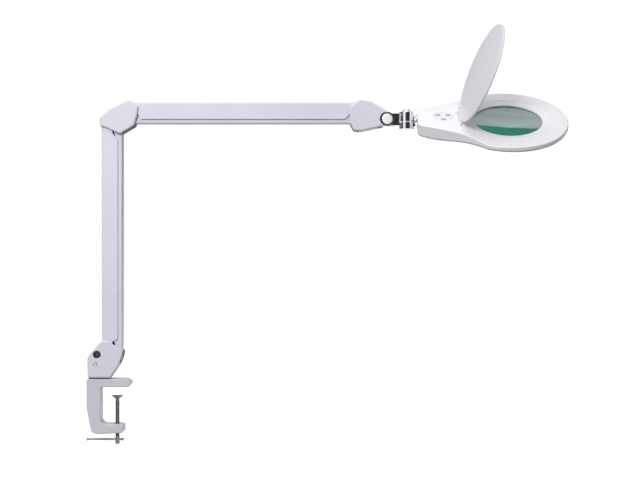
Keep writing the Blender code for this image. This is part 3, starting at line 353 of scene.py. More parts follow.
class Finish:
    """A node material under construction."""

    def __init__(self, name, roughness=0.4, metallic=0.0, **sockets):
        self.made = bpy.data.materials.new(name)
        self.made.use_nodes = True
        self.tree = self.made.node_tree
        self.shader = self.tree.nodes["Principled BSDF"]
        self.shader.inputs["Roughness"].default_value = roughness
        self.shader.inputs["Metallic"].default_value = metallic
        for socket, value in sockets.items():
            self.shader.inputs[socket.replace("_", " ")].default_value = value
        self.coords = self.tree.nodes.new("ShaderNodeTexCoord").outputs["Object"]
        self.height = None

    def node(self, kind, **inputs):
        made = self.tree.nodes.new(kind)
        for key, value in inputs.items():
            socket = made.inputs[key.replace("_", " ")]
            if isinstance(value, bpy.types.NodeSocket):
                self.tree.links.new(value, socket)
            else:
                socket.default_value = value
        return made

    def noise(self, scale, detail=3.0, stretch=None):
        coords = self.coords
        if stretch:
            coords = self.node("ShaderNodeMapping", Vector=coords, Scale=stretch).outputs["Vector"]
        made = self.node("ShaderNodeTexNoise", Vector=coords, Scale=scale, Detail=detail, Roughness=0.55)
        return made.outputs["Fac"]

    def level(self, value, low, high, to_low=0.0, to_high=1.0):
        made = self.node("ShaderNodeMapRange", Value=value, From_Min=low, From_Max=high,
                         To_Min=to_low, To_Max=to_high)
        return made.outputs["Result"]

    def times(self, a, b):
        made = self.tree.nodes.new("ShaderNodeMath")
        made.operation = "MULTIPLY"
        self.tree.links.new(a, made.inputs[0])
        if isinstance(b, bpy.types.NodeSocket):
            self.tree.links.new(b, made.inputs[1])
        else:
            made.inputs[1].default_value = b
        return made.outputs[0]

    def blend(self, amount, first, second):
        """A colour between two colours, or sockets of colour."""
        made = self.tree.nodes.new("ShaderNodeMix")
        made.data_type = "RGBA"
        self.tree.links.new(amount, made.inputs["Factor"])
        for socket, value in ((made.inputs[6], first), (made.inputs[7], second)):
            if isinstance(value, bpy.types.NodeSocket):
                self.tree.links.new(value, socket)
            else:
                socket.default_value = (*value, 1.0)
        return made.outputs[2]

    def edges(self, low=0.53, high=0.60):
        """Where the surface turns sharply outwards."""
        pointed = self.node("ShaderNodeNewGeometry").outputs["Pointiness"]
        return self.level(pointed, low, high)

    def patches(self, scale, detail, first, second):
        """Two colours that run into each other in soft patches."""
        return self.blend(self.level(self.noise(scale, detail), 0.3, 0.7), first, second)

    def uneven(self, scale, detail, glossy, dull):
        """Roughness that drifts between two values."""
        self.rough(self.level(self.noise(scale, detail), 0.3, 0.7, glossy, dull))

    def colour(self, socket):
        self.tree.links.new(socket, self.shader.inputs["Base Color"])

    def rough(self, socket):
        self.tree.links.new(socket, self.shader.inputs["Roughness"])

    def bump(self, height, distance, strength=1.0):
        """Raise the surface by a height map, on top of what is already there."""
        made = self.node("ShaderNodeBump", Height=height, Distance=distance, Strength=strength)
        if self.height:
            self.tree.links.new(self.height, made.inputs["Normal"])
        self.height = made.outputs["Normal"]
        self.tree.links.new(self.height, self.shader.inputs["Normal"])


def shaded(colour, amount):
    return tuple(min(1.0, c * amount) for c in colour)


def painted(name, colour, worn, roughness, grain=650.0, depth=0.00006):
    """Powder coat: fine orange peel, slightly uneven colour, thin and grey at the edges."""
    made = Finish(name, roughness, Coat_Weight=0.12, Coat_Roughness=0.25)
    base = made.patches(9.0, 2.0, shaded(colour, 0.93), colour)
    speck = made.level(made.noise(2600.0, 2.0), 0.62, 0.75, 0.0, 0.10)
    base = made.blend(speck, base, shaded(colour, 0.8))
    wear = made.times(made.edges(0.54, 0.62), made.level(made.noise(240.0, 4.0), 0.56, 0.70, 0.0, 0.30))
    made.colour(made.blend(wear, base, worn))
    made.rough(made.level(made.noise(60.0, 3.0), 0.25, 0.75, roughness - 0.06, roughness + 0.08))
    made.bump(made.noise(grain, 2.0), depth, 0.16)
    made.bump(made.noise(grain * 3.7, 1.0), depth * 0.35, 0.12)
    return made.made


def moulded(name, colour, roughness, coat=0.25, grain=1500.0, depth=0.00002, tint=0.965):
    """Moulded plastic: faint flow marks, fine grain and a little handling gloss on the edges."""
    made = Finish(name, roughness, Coat_Weight=coat, Coat_Roughness=0.08)
    flow = made.level(made.noise(14.0, 3.0, (1.0, 2.5, 1.0)), 0.3, 0.7)
    base = made.blend(flow, shaded(colour, tint), colour)
    # Darker in patches in the hollows, where the surface turns inwards.
    hollow_patches = made.times(made.level(made.noise(90.0, 4.0), 0.55, 0.75), made.edges(0.49, 0.46))
    made.colour(made.blend(made.times(hollow_patches, 0.35), base, shaded(colour, 0.72)))
    smear = made.level(made.noise(35.0, 4.0, (1.0, 1.0, 3.0)), 0.3, 0.7, roughness - 0.05, roughness + 0.06)
    made.rough(smear)
    made.bump(made.noise(grain, 2.0), depth, 0.25)
    return made.made


def metal(name, colour, roughness, stretch=(1.0, 1.0, 1.0), fine=900.0, dark=0.75, depth=0.00003, stain=0.3):
    """Bare or plated metal: drawn grain, a mottled tint and brighter rubbed edges."""
    made = Finish(name, roughness, 1.0)
    tint = made.level(made.noise(70.0, 4.0), 0.35, 0.7)
    base = made.blend(made.times(tint, stain), colour, shaded(colour, dark))
    rubbed = made.times(made.edges(0.52, 0.60), made.level(made.noise(400.0, 2.0), 0.4, 0.6, 0.2, 0.8))
    made.colour(made.blend(rubbed, base, shaded(colour, 1.25)))
    grain = made.noise(fine, 4.0, stretch)
    made.rough(made.level(grain, 0.25, 0.75, max(0.02, roughness * 0.7), roughness * 1.45))
    made.bump(grain, depth, 0.3)
    return made.made


def cast(name, colour, worn):
    """Sand-cast metal: pitted skin with a dull sheen."""
    made = Finish(name, 0.5, 0.85)
    pits = made.noise(420.0, 5.0)
    base = made.blend(made.level(pits, 0.35, 0.65), shaded(colour, 0.7), colour)
    wear = made.times(made.edges(0.53, 0.6), made.level(made.noise(150.0, 3.0), 0.4, 0.6))
    made.colour(made.blend(wear, base, worn))
    made.rough(made.level(pits, 0.3, 0.7, 0.42, 0.62))
    made.bump(pits, 0.00018, 0.5)
    return made.made


def lens_glass():
    """Clear crown glass with faint smears. Its body absorbs, and its glow is painted light in the glass,
    standing for piped light.
    """
    made = Finish("lens_glass", 0.02, 0.0, IOR=1.5, Transmission_Weight=1.0)
    made.colour(made.patches(20.0, 2.0, (0.98, 0.96, 0.97), (0.995, 0.975, 0.985)))
    made.rough(made.level(made.noise(45.0, 5.0, (1.0, 2.2, 1.0)), 0.5, 0.75, 0.008, 0.06))
    made.bump(made.noise(300.0, 2.0), 0.000004, 0.15)
    body = made.node("ShaderNodeVolumeAbsorption", Color=(0.28, 0.74, 0.68, 1), Density=22.0)
    # Painted light: a teal glow in the glass body, which is no lamp.
    glass_glow_painted = made.node("ShaderNodeEmission", Color=(0.03, 1.0, 0.78, 1), Strength=2.3)
    both = made.tree.nodes.new("ShaderNodeAddShader")
    output = next(node for node in made.tree.nodes if node.type == "OUTPUT_MATERIAL")
    made.tree.links.new(body.outputs["Volume"], both.inputs[0])
    made.tree.links.new(glass_glow_painted.outputs["Emission"], both.inputs[1])
    made.tree.links.new(both.outputs["Shader"], output.inputs["Volume"])
    return made.made


def ground_edge():
    """The ground rim of thick crown glass, deep green from the side."""
    made = Finish("lens_ground_edge", 0.4)
    made.colour(made.patches(90.0, 4.0, (0.02, 0.27, 0.20), (0.05, 0.36, 0.28)))
    made.uneven(700.0, 2.0, 0.35, 0.55)
    made.bump(made.noise(2200.0, 2.0), 0.00001, 0.3)
    return made.made


def frosted():
    """Frosted diffuser with a fine prism grain."""
    made = Finish("frosted_diffuser", 0.45, Transmission_Weight=0.35)
    made.colour(made.patches(30.0, 3.0, (0.86, 0.88, 0.89), (0.93, 0.94, 0.94)))
    cells = made.node("ShaderNodeTexVoronoi", Vector=made.coords, Scale=620.0)
    made.uneven(80.0, 2.0, 0.38, 0.52)
    made.bump(cells.outputs["Distance"], 0.00015, 0.6)
    return made.made


def board():
    """Green solder mask over copper tracks."""
    made = Finish("solder_mask", 0.35)
    bricks = made.node("ShaderNodeTexBrick", Vector=made.coords, Scale=260.0, Color1=(0.02, 0.16, 0.07, 1),
                       Color2=(0.03, 0.22, 0.10, 1), Mortar=(0.05, 0.30, 0.14, 1))
    mottled = made.level(made.noise(300.0, 2.0), 0.4, 0.6, 0.0, 0.5)
    made.colour(made.blend(mottled, bricks.outputs["Color"], (0.015, 0.12, 0.05)))
    made.uneven(500.0, 2.0, 0.25, 0.45)
    made.bump(bricks.outputs["Fac"], 0.00003, 0.4)
    return made.made


def rubber():
    made = Finish("gasket_rubber", 0.7)
    dust = made.level(made.noise(350.0, 4.0), 0.5, 0.75, 0.0, 0.5)
    made.colour(made.blend(dust, (0.012, 0.012, 0.013), (0.05, 0.05, 0.05)))
    made.uneven(120.0, 3.0, 0.6, 0.85)
    made.bump(made.noise(1800.0, 2.0), 0.00004, 0.5)
    return made.made


PAINT = painted("arm_paint", (0.755, 0.755, 0.85), (0.54, 0.54, 0.57), 0.42)
CLAMP_PAINT = painted("clamp_enamel", (0.635, 0.63, 0.69), (0.44, 0.44, 0.47), 0.38, 420.0, 0.00010)
COVER = painted("cover_enamel", (0.735, 0.735, 0.82), (0.60, 0.60, 0.63), 0.40, 800.0, 0.00004)
GLOSS = moulded("head_gloss", (0.86, 0.86, 0.90), 0.24, 0.4)
# Painted shade: the lower shell's white gloss, coloured darker grey for the dark strip along the bottom of
# the head.
GLOSS_PAINTED_SHADE = moulded("head_gloss_painted_shade", (0.42, 0.42, 0.47), 0.34, 0.2)
PANEL = moulded("keypad_gloss", (0.80, 0.80, 0.83), 0.28, 0.4)
LID = moulded("lid_satin", (0.74, 0.735, 0.79), 0.34, 0.25, 1100.0, 0.00002)
BLACK = moulded("black_moulding", (0.014, 0.014, 0.016), 0.34, 0.3, 1200.0, 0.00004, 0.8)
KEY_GREY = moulded("key_grey", (0.30, 0.30, 0.33), 0.45, 0.1)
KEY_WHITE = moulded("key_white", (0.75, 0.75, 0.78), 0.35, 0.2)
NYLON = moulded("bush_nylon", (0.62, 0.61, 0.58), 0.5, 0.0, 900.0)
CHROME = metal("bright_chrome", (0.86, 0.86, 0.88), 0.05, (1.0, 1.0, 1.0), 1400.0, 0.85, 0.000006, 0.2)
STEEL = metal("zinc_steel", (0.56, 0.54, 0.49), 0.24, (1.0, 1.0, 0.2), 1100.0, 0.62, 0.00003, 0.6)
SCREW_STEEL = metal("oiled_steel", (0.22, 0.21, 0.195), 0.26, (1.0, 1.0, 0.2), 1100.0, 0.62, 0.00003, 0.6)
SPRING_STEEL = metal("spring_wire", (0.30, 0.30, 0.31), 0.35, (0.4, 1.0, 1.0), 1500.0, 0.5, 0.00004, 0.6)
CAP = metal("spun_cap", (0.66, 0.66, 0.68), 0.42, (1.0, 1.0, 1.0), 2600.0, 0.92, 0.000004, 0.2)
BRASS = metal("contact_brass", (0.76, 0.60, 0.28), 0.25, (1.0, 0.2, 1.0), 1400.0, 0.7, 0.00002, 0.4)
CAST = cast("cast_alloy", (0.42, 0.42, 0.44), (0.62, 0.62, 0.64))
GLASS = lens_glass()
GROUND_EDGE = ground_edge()
FROSTED = frosted()
BOARD = board()
RUBBER = rubber()


# ---------------------------------------------------------------- clamp

def cross_recess(frame_at, top, arm):
    """The cutters for a cross-head screw's recess."""
    narrow, depth = arm * 0.3, arm * 0.55
    blade = [(-arm, -narrow), (arm, -narrow), (arm, narrow), (-arm, narrow)]
    return [slab(blade, top - depth, top + 2, frame_at @ Matrix.Rotation(turn, 4, "Z"))
            for turn in (0, math.pi / 2)]


def thread(radius, low, high, pitch):
    """A screw thread: one closed surface whose groove climbs around it."""
    depth, sides, per_pitch = 0.55, 48, 8
    rows = []
    count = int((high - low) / pitch * per_pitch)
    for row in range(count + 1):
        z = low + (high - low) * row / count
        fade = min(1.0, (z - low) / pitch, (high - z) / pitch)
        ring = []
        for side in range(sides):
            phase = (z / pitch - side / sides) % 1.0
            dip = depth * fade * abs(2 * phase - 1)
            ring.append((*polar(radius - dip, 2 * math.pi * side / sides), z))
        rows.append(ring)
    return place(loft(rows))


def build_clamp():
    outline = rounded([
        (-54.8, 14.9, 2.5), (18.0, 14.9, 9.0), (28.0, 8.5, 3.5), (22.2, 0, 1.8), (-29.0, 0, 2.5),
        (-29.0, -68.6, 10.0), (-8.0, -68.6, 6.0), (9.0, -68.6, 2.0), (12.9, -70.5, 3.0), (12.9, -84.2, 4.0),
        (-34.0, -86.5, 10.0), (-46.0, -84.0, 9.0), (-54.8, -37.7, 20.0)], 10)
    body = side_slab(outline, -20, 20, 1.7, 6)
    cut(body, rod((0, 0, -100), (0, 0, -50), 4.35), rod((SWIVEL_X, 0, -30.5), (SWIVEL_X, 0, 30), 8.8))
    cut(body, turned([(0, -66.5), (5.6, -68.2), (5.6, -71.0), (4.2, -72.0), (0, -72.0)]))
    piece("clamp_casting", body, "base", CLAMP_PAINT, "clamp_paint", "clamp_frame")

    bush = turned([(11.5, 16.4, 0.5), (11.5, 15.2, 0.2), (8.5, 15.2), (8.5, -30.0, 0.6), (6.3, -30.0, 0.3),
                   (6.3, 16.4, 0.4)], upright_at(SWIVEL_X))
    piece("clamp_bush", bush, "base", NYLON, "nylon", "swivel_bush")

    pad = turned([(0, -16.7), (9.9, -16.7, 0.3), (10.5, -17.5, 0.5), (9.4, -18.9, 0.8), (6.4, -20.4, 2.5),
                  (5.2, -22.7, 0.4), (3.45, -22.7, 0.2), (3.45, -18.7), (0, -18.7)])
    piece("clamp_pad_disc", pad, "clamp_pad", SCREW_STEEL, "steel", "clamp_pad")

    stem = turned([(0, -19.1), (2.7, -19.1, 0.2), (3.0, -19.5), (3.0, -23.1), (3.35, -24.6), (3.35, -25.4),
                   (0, -25.4)])
    threaded = thread(3.98, -92.0, -25.2, 1.25)
    plain = turned([(0, -91.6), (3.9, -91.6, 0.2), (4.0, -92.6, 0.3), (4.0, -105.2, 0.5), (2.8, -106.4, 0.4),
                    (0, -106.4)])
    cut(plain, rod((-10, 0, -97.9), (10, 0, -97.9), 2.35))
    whole = merge(stem, threaded, plain)
    piece("clamp_screw_thread", whole, "clamp_screw", SCREW_STEEL, "steel", "clamp_screw")

    lying = upright_at(0, 0, -97.9) @ Matrix.Rotation(math.pi / 2, 4, "Y")
    bar_body = turned([(0, 11.6), (2.2, 11.6, 0.6), (2.8, 10.8, 0.5), (2.8, 9.2, 0.4), (2.0, 8.6, 0.3),
                       (2.0, -54.0, 0.3), (2.8, -54.6, 0.4), (2.8, -56.2, 0.5), (2.2, -57.0, 0.6),
                       (0, -57.0)],
                      lying, 48)
    piece("tommy_handle", bar_body, "tommy_bar", SCREW_STEEL, "steel", "tommy_bar")


# ---------------------------------------------------------------- knuckles

def cover_halves(outline, openings, screw_at, head_in_front):
    """Two edged half covers with rims, a seam between them and a sunk screw; the front one comes first."""
    inner = COVER_HALF - COVER_WALL
    halves = []
    for side in (-1, 1):
        half = side_slab(outline, -COVER_HALF, COVER_HALF, COVER_EDGE, 8)
        hollow = side_slab(inset(outline, COVER_WALL), -inner, inner, 1.0, 3)
        near, far = span(-side, 60, -0.15)
        cut(half, hollow, box((-200, near, -200), (900, far, 900)))
        cut(half, *[side_slab(region, -inner, inner) for region in openings])
        join(half, through(screw_at, 4.0, *span(side, 11.3, inner + 0.8)))
        if (side < 0) == head_in_front:
            cut(half, through(screw_at, 1.9, *span(side, 10, 30)),
                through(screw_at, 3.8, *span(side, 20.2, 30)))
        else:
            cut(half, through(screw_at, 1.9, *span(side, 10, 17)))
        halves.append(half)
    return halves


def cover_screw(name, at, front, body, node):
    frame_at = pivot_frame(at, front)
    head = turned([(0, 21.6), (2.3, 21.5, 0.6), (3.5, 20.9, 0.4), (3.5, 20.5, 0.1), (1.5, 20.5),
                   (1.5, -16.2, 0.3), (0, -16.2)], frame_at, 48)
    cut(head, *cross_recess(frame_at, 21.7, 1.9))
    piece(name, head, body, STEEL, "steel", node)


def rivet(name, at, radius, half, head_radius, head_thick, body, node):
    """A pin with a slightly domed head on each end."""
    shoulder = half - head_thick
    profile = [(0, half), (head_radius * 0.62, half - 0.08, 0.4), (head_radius, half - 0.45, 0.3),
               (head_radius, shoulder, 0.1), (radius, shoulder), (radius, -shoulder),
               (head_radius, -shoulder, 0.1), (head_radius, 0.45 - half, 0.3),
               (head_radius * 0.62, 0.08 - half, 0.4), (0, -half)]
    piece(name, turned(profile, pivot_frame(at), 48), body, STEEL, "steel", node)


def channel_rivet(name, at, body, node):
    rivet(name, at, 3.0, 19.0, 4.6, 1.65, body, node)


def bar_rivet(name, at, body, node):
    rivet(name, at, 2.5, 14.85, 3.7, 1.0, body, node)


def bracket(name, outline, holes, body, node, extra=()):
    tongue = side_slab(outline, -11, 11, 1.0, 4)
    cut(tongue, *[through(at, radius) for at, radius in holes], *extra)
    piece(name, tongue, body, CAST, "cast_metal", node)


def build_base():
    collar = turned([(0, 30.0), (6.0, 30.0, 0.6), (6.0, 19.2), (8.2, 19.2, 0.4), (8.2, 16.8, 0.4),
                     (6.0, 16.8), (6.0, -28.0, 0.3), (5.0, -29.0, 0.3), (0, -29.0)], upright_at(SWIVEL_X), 64)
    piece("swivel_post", collar, "swivel", STEEL, "steel", "swivel_pin")
    bracket("base_casting", wrap([(*BASE_PIVOT, 9.9), (*BASE_BAR_PIVOT, 4.8), (-44.5, 24.5, 5.0),
                                  (-20.0, 24.5, 5.0), (*BASE_SCREW_AT, 6.5)]),
            [(BASE_PIVOT, 3.4), (BASE_BAR_PIVOT, 2.9), (BASE_SCREW_AT, 1.9)], "swivel", "base_bracket",
            [rod((SWIVEL_X, 0, 10), (SWIVEL_X, 0, 30.4), 6.3)])
    outline = rounded([(-52.8, 16.8, 4.2), (-53.2, 56.0, 14.0), (-23.5, 91.0, 14.0), (12.9, 66.8, 4.6),
                       (11.2, 56.5, 12.0), (5.0, 40.0, 30.0), (-10.5, 16.8, 4.2)], 10)
    opening = [(-33.5, 76.5), (-60.0, 110.0), (40.0, 110.0), (40.0, 43.5), (-2.0, 43.5), (-10.0, 70.0)]
    halves = cover_halves(outline, [opening], BASE_SCREW_AT, True)
    for half, name in zip(halves, ("base_cover_front", "base_cover_rear")):
        tools = [rod((SWIVEL_X, 0, 10), (SWIVEL_X, 0, 20), 8.6)]
        if name.endswith("front"):
            tools.append(through(INLET_AT, 7.85, -30, 0))
            tools.append(turned([(0, 23), (9.2, 23.0), (9.2, 21.5, 0.3), (7.9, 21.1, 0.2), (0, 21.1)],
                                pivot_frame(INLET_AT)))
        cut(half, *tools)
        piece(name + "_shell", half, "swivel", COVER, "white_paint", name)
    inlet = pivot_frame(INLET_AT)
    socket = turned([(7.5, 21.4, 0.4), (7.5, 11.8, 0.4), (1.4, 11.8), (1.4, 14.0, 0.2), (3.2, 14.0),
                     (3.2, 20.4, 0.2), (4.6, 20.4, 0.2), (5.4, 22.0, 0.4), (6.9, 22.0, 0.3)], inlet)
    piece("inlet_socket", socket, "swivel", BLACK, "black_plastic", "power_inlet")
    ring = turned([(9.0, 22.0, 0.3), (9.0, 21.65, 0.1), (7.7, 21.3, 0.1), (7.6, 22.0, 0.2)], inlet)
    piece("inlet_bezel", ring, "swivel", CAP, "chrome")
    contact = turned([(0, 21.2), (0.5, 21.2, 0.2), (1.0, 20.4, 0.2), (1.0, 11.2, 0.1), (0, 11.2)], inlet, 32)
    piece("inlet_contact", contact, "swivel", BRASS, "brass", "inlet_pin")
    cover_screw("base_cover_bolt", BASE_SCREW_AT, True, "swivel", "base_cover_screw")
    channel_rivet("base_channel_rivet", BASE_PIVOT, "swivel", "lower_base_pivot")
    bar_rivet("base_bar_rivet", BASE_BAR_PIVOT, "swivel", "lower_base_bar_pivot")


def build_elbow():
    hubs = [(*ELBOW_PIVOT, 9.9), (*UPPER_PIVOT, 9.9), (*ELBOW_BAR_PIVOT, 4.8), (*UPPER_BAR_PIVOT, 4.8)]
    bracket("elbow_casting", wrap(hubs),
            [(ELBOW_PIVOT, 3.4), (UPPER_PIVOT, 3.4), (ELBOW_BAR_PIVOT, 2.9), (UPPER_BAR_PIVOT, 2.9),
             (ELBOW_SCREW_AT, 1.9)], "elbow", "elbow_bracket")
    outline = rounded([(-30.2, 478.5, 4.2), (-30.2, 496.6, 6.0), (-12.0, 512.0, 30.0), (23.5, 529.8, 7.5),
                       (41.8, 516.5, 6.5), (38.5, 499.0, 25.0), (33.0, 480.9, 4.6), (7.2, 465.4, 5.5),
                       (-23.0, 478.4, 10.0)], 10)
    opening = [(-60, 497.8), (-24, 497.8), (-5, 500), (12, 508), (19, 518), (19, 560), (90, 560), (90, 430),
               (-60, 430)]
    halves = cover_halves(outline, [opening], ELBOW_SCREW_AT, False)
    for half, name in zip(halves, ("elbow_cover_front", "elbow_cover_rear")):
        piece(name + "_shell", half, "elbow", COVER, "white_paint", name)
    cover_screw("elbow_cover_bolt", ELBOW_SCREW_AT, False, "elbow", "elbow_cover_screw")
    channel_rivet("elbow_lower_rivet", ELBOW_PIVOT, "elbow", "lower_elbow_pivot")
    channel_rivet("elbow_upper_rivet", UPPER_PIVOT, "elbow", "upper_elbow_pivot")
    bar_rivet("elbow_lower_bar_rivet", ELBOW_BAR_PIVOT, "elbow", "lower_elbow_bar_pivot")
    bar_rivet("elbow_upper_bar_rivet", UPPER_BAR_PIVOT, "elbow", "upper_elbow_bar_pivot")


# ---------------------------------------------------------------- arms

def arm_frame(pivot, upright):
    turn = Matrix.Rotation(math.pi / 2, 4, "Z") if upright else WORLD
    return pivot_frame(pivot) @ turn


def folded(frame_at, half, back, reach, start, end):
    """A strip folded into a channel whose back is at y = back and whose sides reach to y = reach."""
    wall, bend = 1.8, 2.6
    facing = 1 if back > 0 else -1
    section = rounded([(-half, reach, 0.4), (-half, back, bend), (half, back, bend), (half, reach, 0.4),
                       (half - wall, reach, 0.4), (half - wall, back - facing * wall, bend - wall),
                       (wall - half, back - facing * wall, bend - wall), (wall - half, reach, 0.4)], 6)
    rings = [[(x, y, z) for z, y in section] for x in (start, end)]
    return place(loft(rings), frame_at)


def open_ends(arm, frame_at, length, low, high, half, hole):
    """Cut the back of a folded arm away at both ends, for the brackets' tongues, and drill its pivots."""
    cut(arm, box((-20, low, -half), (length, high, half), frame_at),
        box((ARM_LENGTH - length, low, -half), (ARM_LENGTH + 20, high, half), frame_at))
    cut(arm, *[rod((x, 0, -30), (x, 0, 30), hole, 48, frame_at) for x in (0, ARM_LENGTH)])


def build_channel(arm, pivot, upright, near_cut, far_cut, reach):
    frame_at = arm_frame(pivot, upright)
    lip, shoulder, back = 6.2, 6.9, 12.6
    tail = math.sqrt(back ** 2 - lip ** 2)
    first = math.atan2(-lip, -tail)
    near_end = [polar(back, math.pi / 2 + (first + 1.5 * math.pi) * step / 24) for step in range(25)]
    far_end = [(ARM_LENGTH - x, y) for x, y in reversed(near_end)]
    outline = (near_end + [(near_cut[1], -shoulder), (near_cut[0], -reach), (ARM_LENGTH - far_cut[0], -reach),
                           (ARM_LENGTH - far_cut[1], -shoulder)] + far_end)
    channel = folded(frame_at, 17.0, back, -reach, -20, ARM_LENGTH + 20)
    common(channel, slab(outline, -18, 18, frame_at))
    open_ends(channel, frame_at, 4, 5, 20, 14.8, 3.4)
    piece(arm + "_arm_channel", channel, arm + "_channel", PAINT, "white_paint", arm + "_channel")


def build_bar(arm, pivot, upright):
    frame_at = arm_frame(pivot, upright)
    back, reach = 6.6, 7.0
    corner = math.sqrt(reach ** 2 - back ** 2)
    turns = [math.pi * step / 20 for step in range(21)]
    near_end = [(-back * math.sin(a), back * math.cos(a)) for a in turns]
    far_end = [(ARM_LENGTH - x, y) for x, y in reversed(near_end)]
    outline = [(corner + 2, reach)] + near_end + far_end + [(ARM_LENGTH - corner - 2, reach)]
    bar = folded(frame_at, 13.5, -back, reach, -20, ARM_LENGTH + 20)
    common(bar, slab(outline, -15, 15, frame_at))
    open_ends(bar, frame_at, 12, -20, -3.9, 11.3, 2.9)
    piece(arm + "_arm_bar", bar, arm + "_bar", PAINT, "white_paint", arm + "_bar")


def build_spring(arm, pivot, upright):
    """A close-wound tension spring with a straight tail at each end."""
    lift, radius, start, pitch, turns, per_turn = 3.0, 4.6, 60.0, 2.4, 60, 14
    points = [(start - 12, lift, 0), (start - 4, lift, 0)]
    for step in range(turns * per_turn + 1):
        angle = 2 * math.pi * step / per_turn
        grow = min(1.0, step / per_turn, (turns * per_turn - step) / per_turn)
        points.append((start + pitch * step / per_turn, lift + radius * grow * math.cos(angle),
                       radius * grow * math.sin(angle)))
    points += [(points[-1][0] + 4, lift, 0), (points[-1][0] + 12, lift, 0)]
    wire = tube(points, 0.9, arm_frame(pivot, upright), 1)
    piece(arm + "_arm_spring", wire, arm + "_channel", SPRING_STEEL, "spring_steel", arm + "_spring")


def build_arms():
    build_channel("lower", BASE_PIVOT, True, (24.3, 19.1), (35.0, 22.0), 16.8)
    build_channel("upper", UPPER_PIVOT, False, (18.0, 11.0), (31.5, 20.0), 18.4)
    build_bar("lower", BASE_BAR_PIVOT, True)
    build_bar("upper", UPPER_BAR_PIVOT, False)
    build_spring("lower", BASE_PIVOT, True)
    build_spring("upper", UPPER_PIVOT, False)


build_clamp()
build_base()
build_elbow()
build_arms()


# ---------------------------------------------------------------- neck, tilt and swivel

def build_neck():
    hubs = [(*HEAD_PIVOT, 9.9), (*HEAD_BAR_PIVOT, 4.8), (*HEAD_SCREW_AT, 8.0), (*TILT_AT, 10.6)]
    bracket("neck_casting", wrap(hubs),
            [(TILT_AT, 3.4), (HEAD_PIVOT, 3.4), (HEAD_BAR_PIVOT, 2.9), (HEAD_SCREW_AT, 1.9)], "head_bracket",
            "head_bracket", [through(TILT_AT, 14.0, -20, -5.0, 96), through(TILT_AT, 14.0, 5.0, 20, 96)])
    outline = rounded([(430.0, 517.0, 5.0), (430.0, 485.5, 6.0), (436.5, 471.6, 8.0), (451.0, 471.0, 6.0),
                       (500.0, 481.5, 5.0), (500.0, 508.0, 5.0), (468.0, 526.6, 12.0),
                       (447.0, 530.5, 10.0)], 10)
    openings = [[(420, 540), (459, 540), (459, 500), (447, 490), (447, 460), (420, 460)],
                [(480, 540), (520, 540), (520, 460), (480, 460)]]
    halves = cover_halves(outline, openings, HEAD_SCREW_AT, False)
    for half, name in zip(halves, ("neck_cover_front", "neck_cover_rear")):
        cut(half, through(TILT_AT, BARREL, sides=96))
        piece(name + "_shell", half, "head_bracket", COVER, "white_paint", name)
    cover_screw("neck_cover_bolt", HEAD_SCREW_AT, False, "head_bracket", "neck_cover_screw")
    channel_rivet("neck_channel_rivet", HEAD_PIVOT, "head_bracket", "upper_head_pivot")
    bar_rivet("neck_bar_rivet", HEAD_BAR_PIVOT, "head_bracket", "upper_head_bar_pivot")


def web(low, high, half, edge):
    """A block between two (X, Z) corners, as deep on both sides of the middle plane."""
    (left, bottom), (right, top) = low, high
    return side_slab([(left, bottom), (right, bottom), (right, top), (left, top)], -half, half, edge, 3)


def build_tilt_link():
    """The fork on the tilt stud with the barrel over the swivel, and its nut, bolt and cap nut."""
    tilt_x, tilt_z = TILT_AT
    left, right, seam = 512.0, SWIVEL_AT_X - BARREL - 0.4, SEAM + SEAM_GAP
    upright = upright_at(SWIVEL_AT_X)
    fork = side_slab(wrap([(*TILT_AT, 11.8), (514.0, 501.0, 3.5), (514.0, 485.0, 3.5)], 96), -11, 11, 0.8, 4)
    cut(fork, box((tilt_x - 20, -5.4, tilt_z - 20), (left, 5.4, tilt_z + 20)))
    barrel = turned([(0, seam), (BARREL, seam, 0.7), (BARREL, 507.8, 1.2), (0, 507.8)], upright)
    join(fork, web((left, 481.5), (right, 504.6), 11, 0.7),
         web((left + 1, seam), (SWIVEL_AT_X - 6, 503.6), 9.5, 0.5), barrel)
    cut(fork, through(TILT_AT, 3.4), rod((SWIVEL_AT_X, 0, 470), (SWIVEL_AT_X, 0, 520), 3.4))
    piece("tilt_fork", fork, "tilt_link", CHROME, "chrome", "tilt_link")
    nut = side_slab(circle(TILT_AT, 7.2, 6), 11.3, 16.0, 0.5, 3)
    cut(nut, through(TILT_AT, 3.4))
    piece("tilt_hex_nut", nut, "tilt_link", STEEL, "steel", "tilt_nut")
    bolt = turned([(0, 510.6), (2.6, 510.6, 0.2), (3.0, 510.2, 0.2), (3.0, 478.7, 0.1), (6.0, 478.7, 0.3),
                   (6.0, 475.6, 0.5), (0, 475.6)], upright, 64)
    piece("swivel_bolt_body", bolt, "tilt_link", STEEL, "steel", "swivel_bolt")
    dome = turned([(0, 513.0), (3.0, 512.7, 1.5), (5.6, 511.5, 1.8), (7.1, 509.8, 1.2), (7.4, 508.1, 0.3),
                   (3.4, 508.1), (3.4, 510.9), (0, 510.9)], upright)
    piece("swivel_cap_nut", dome, "tilt_link", CHROME, "chrome", "swivel_dome_nut")


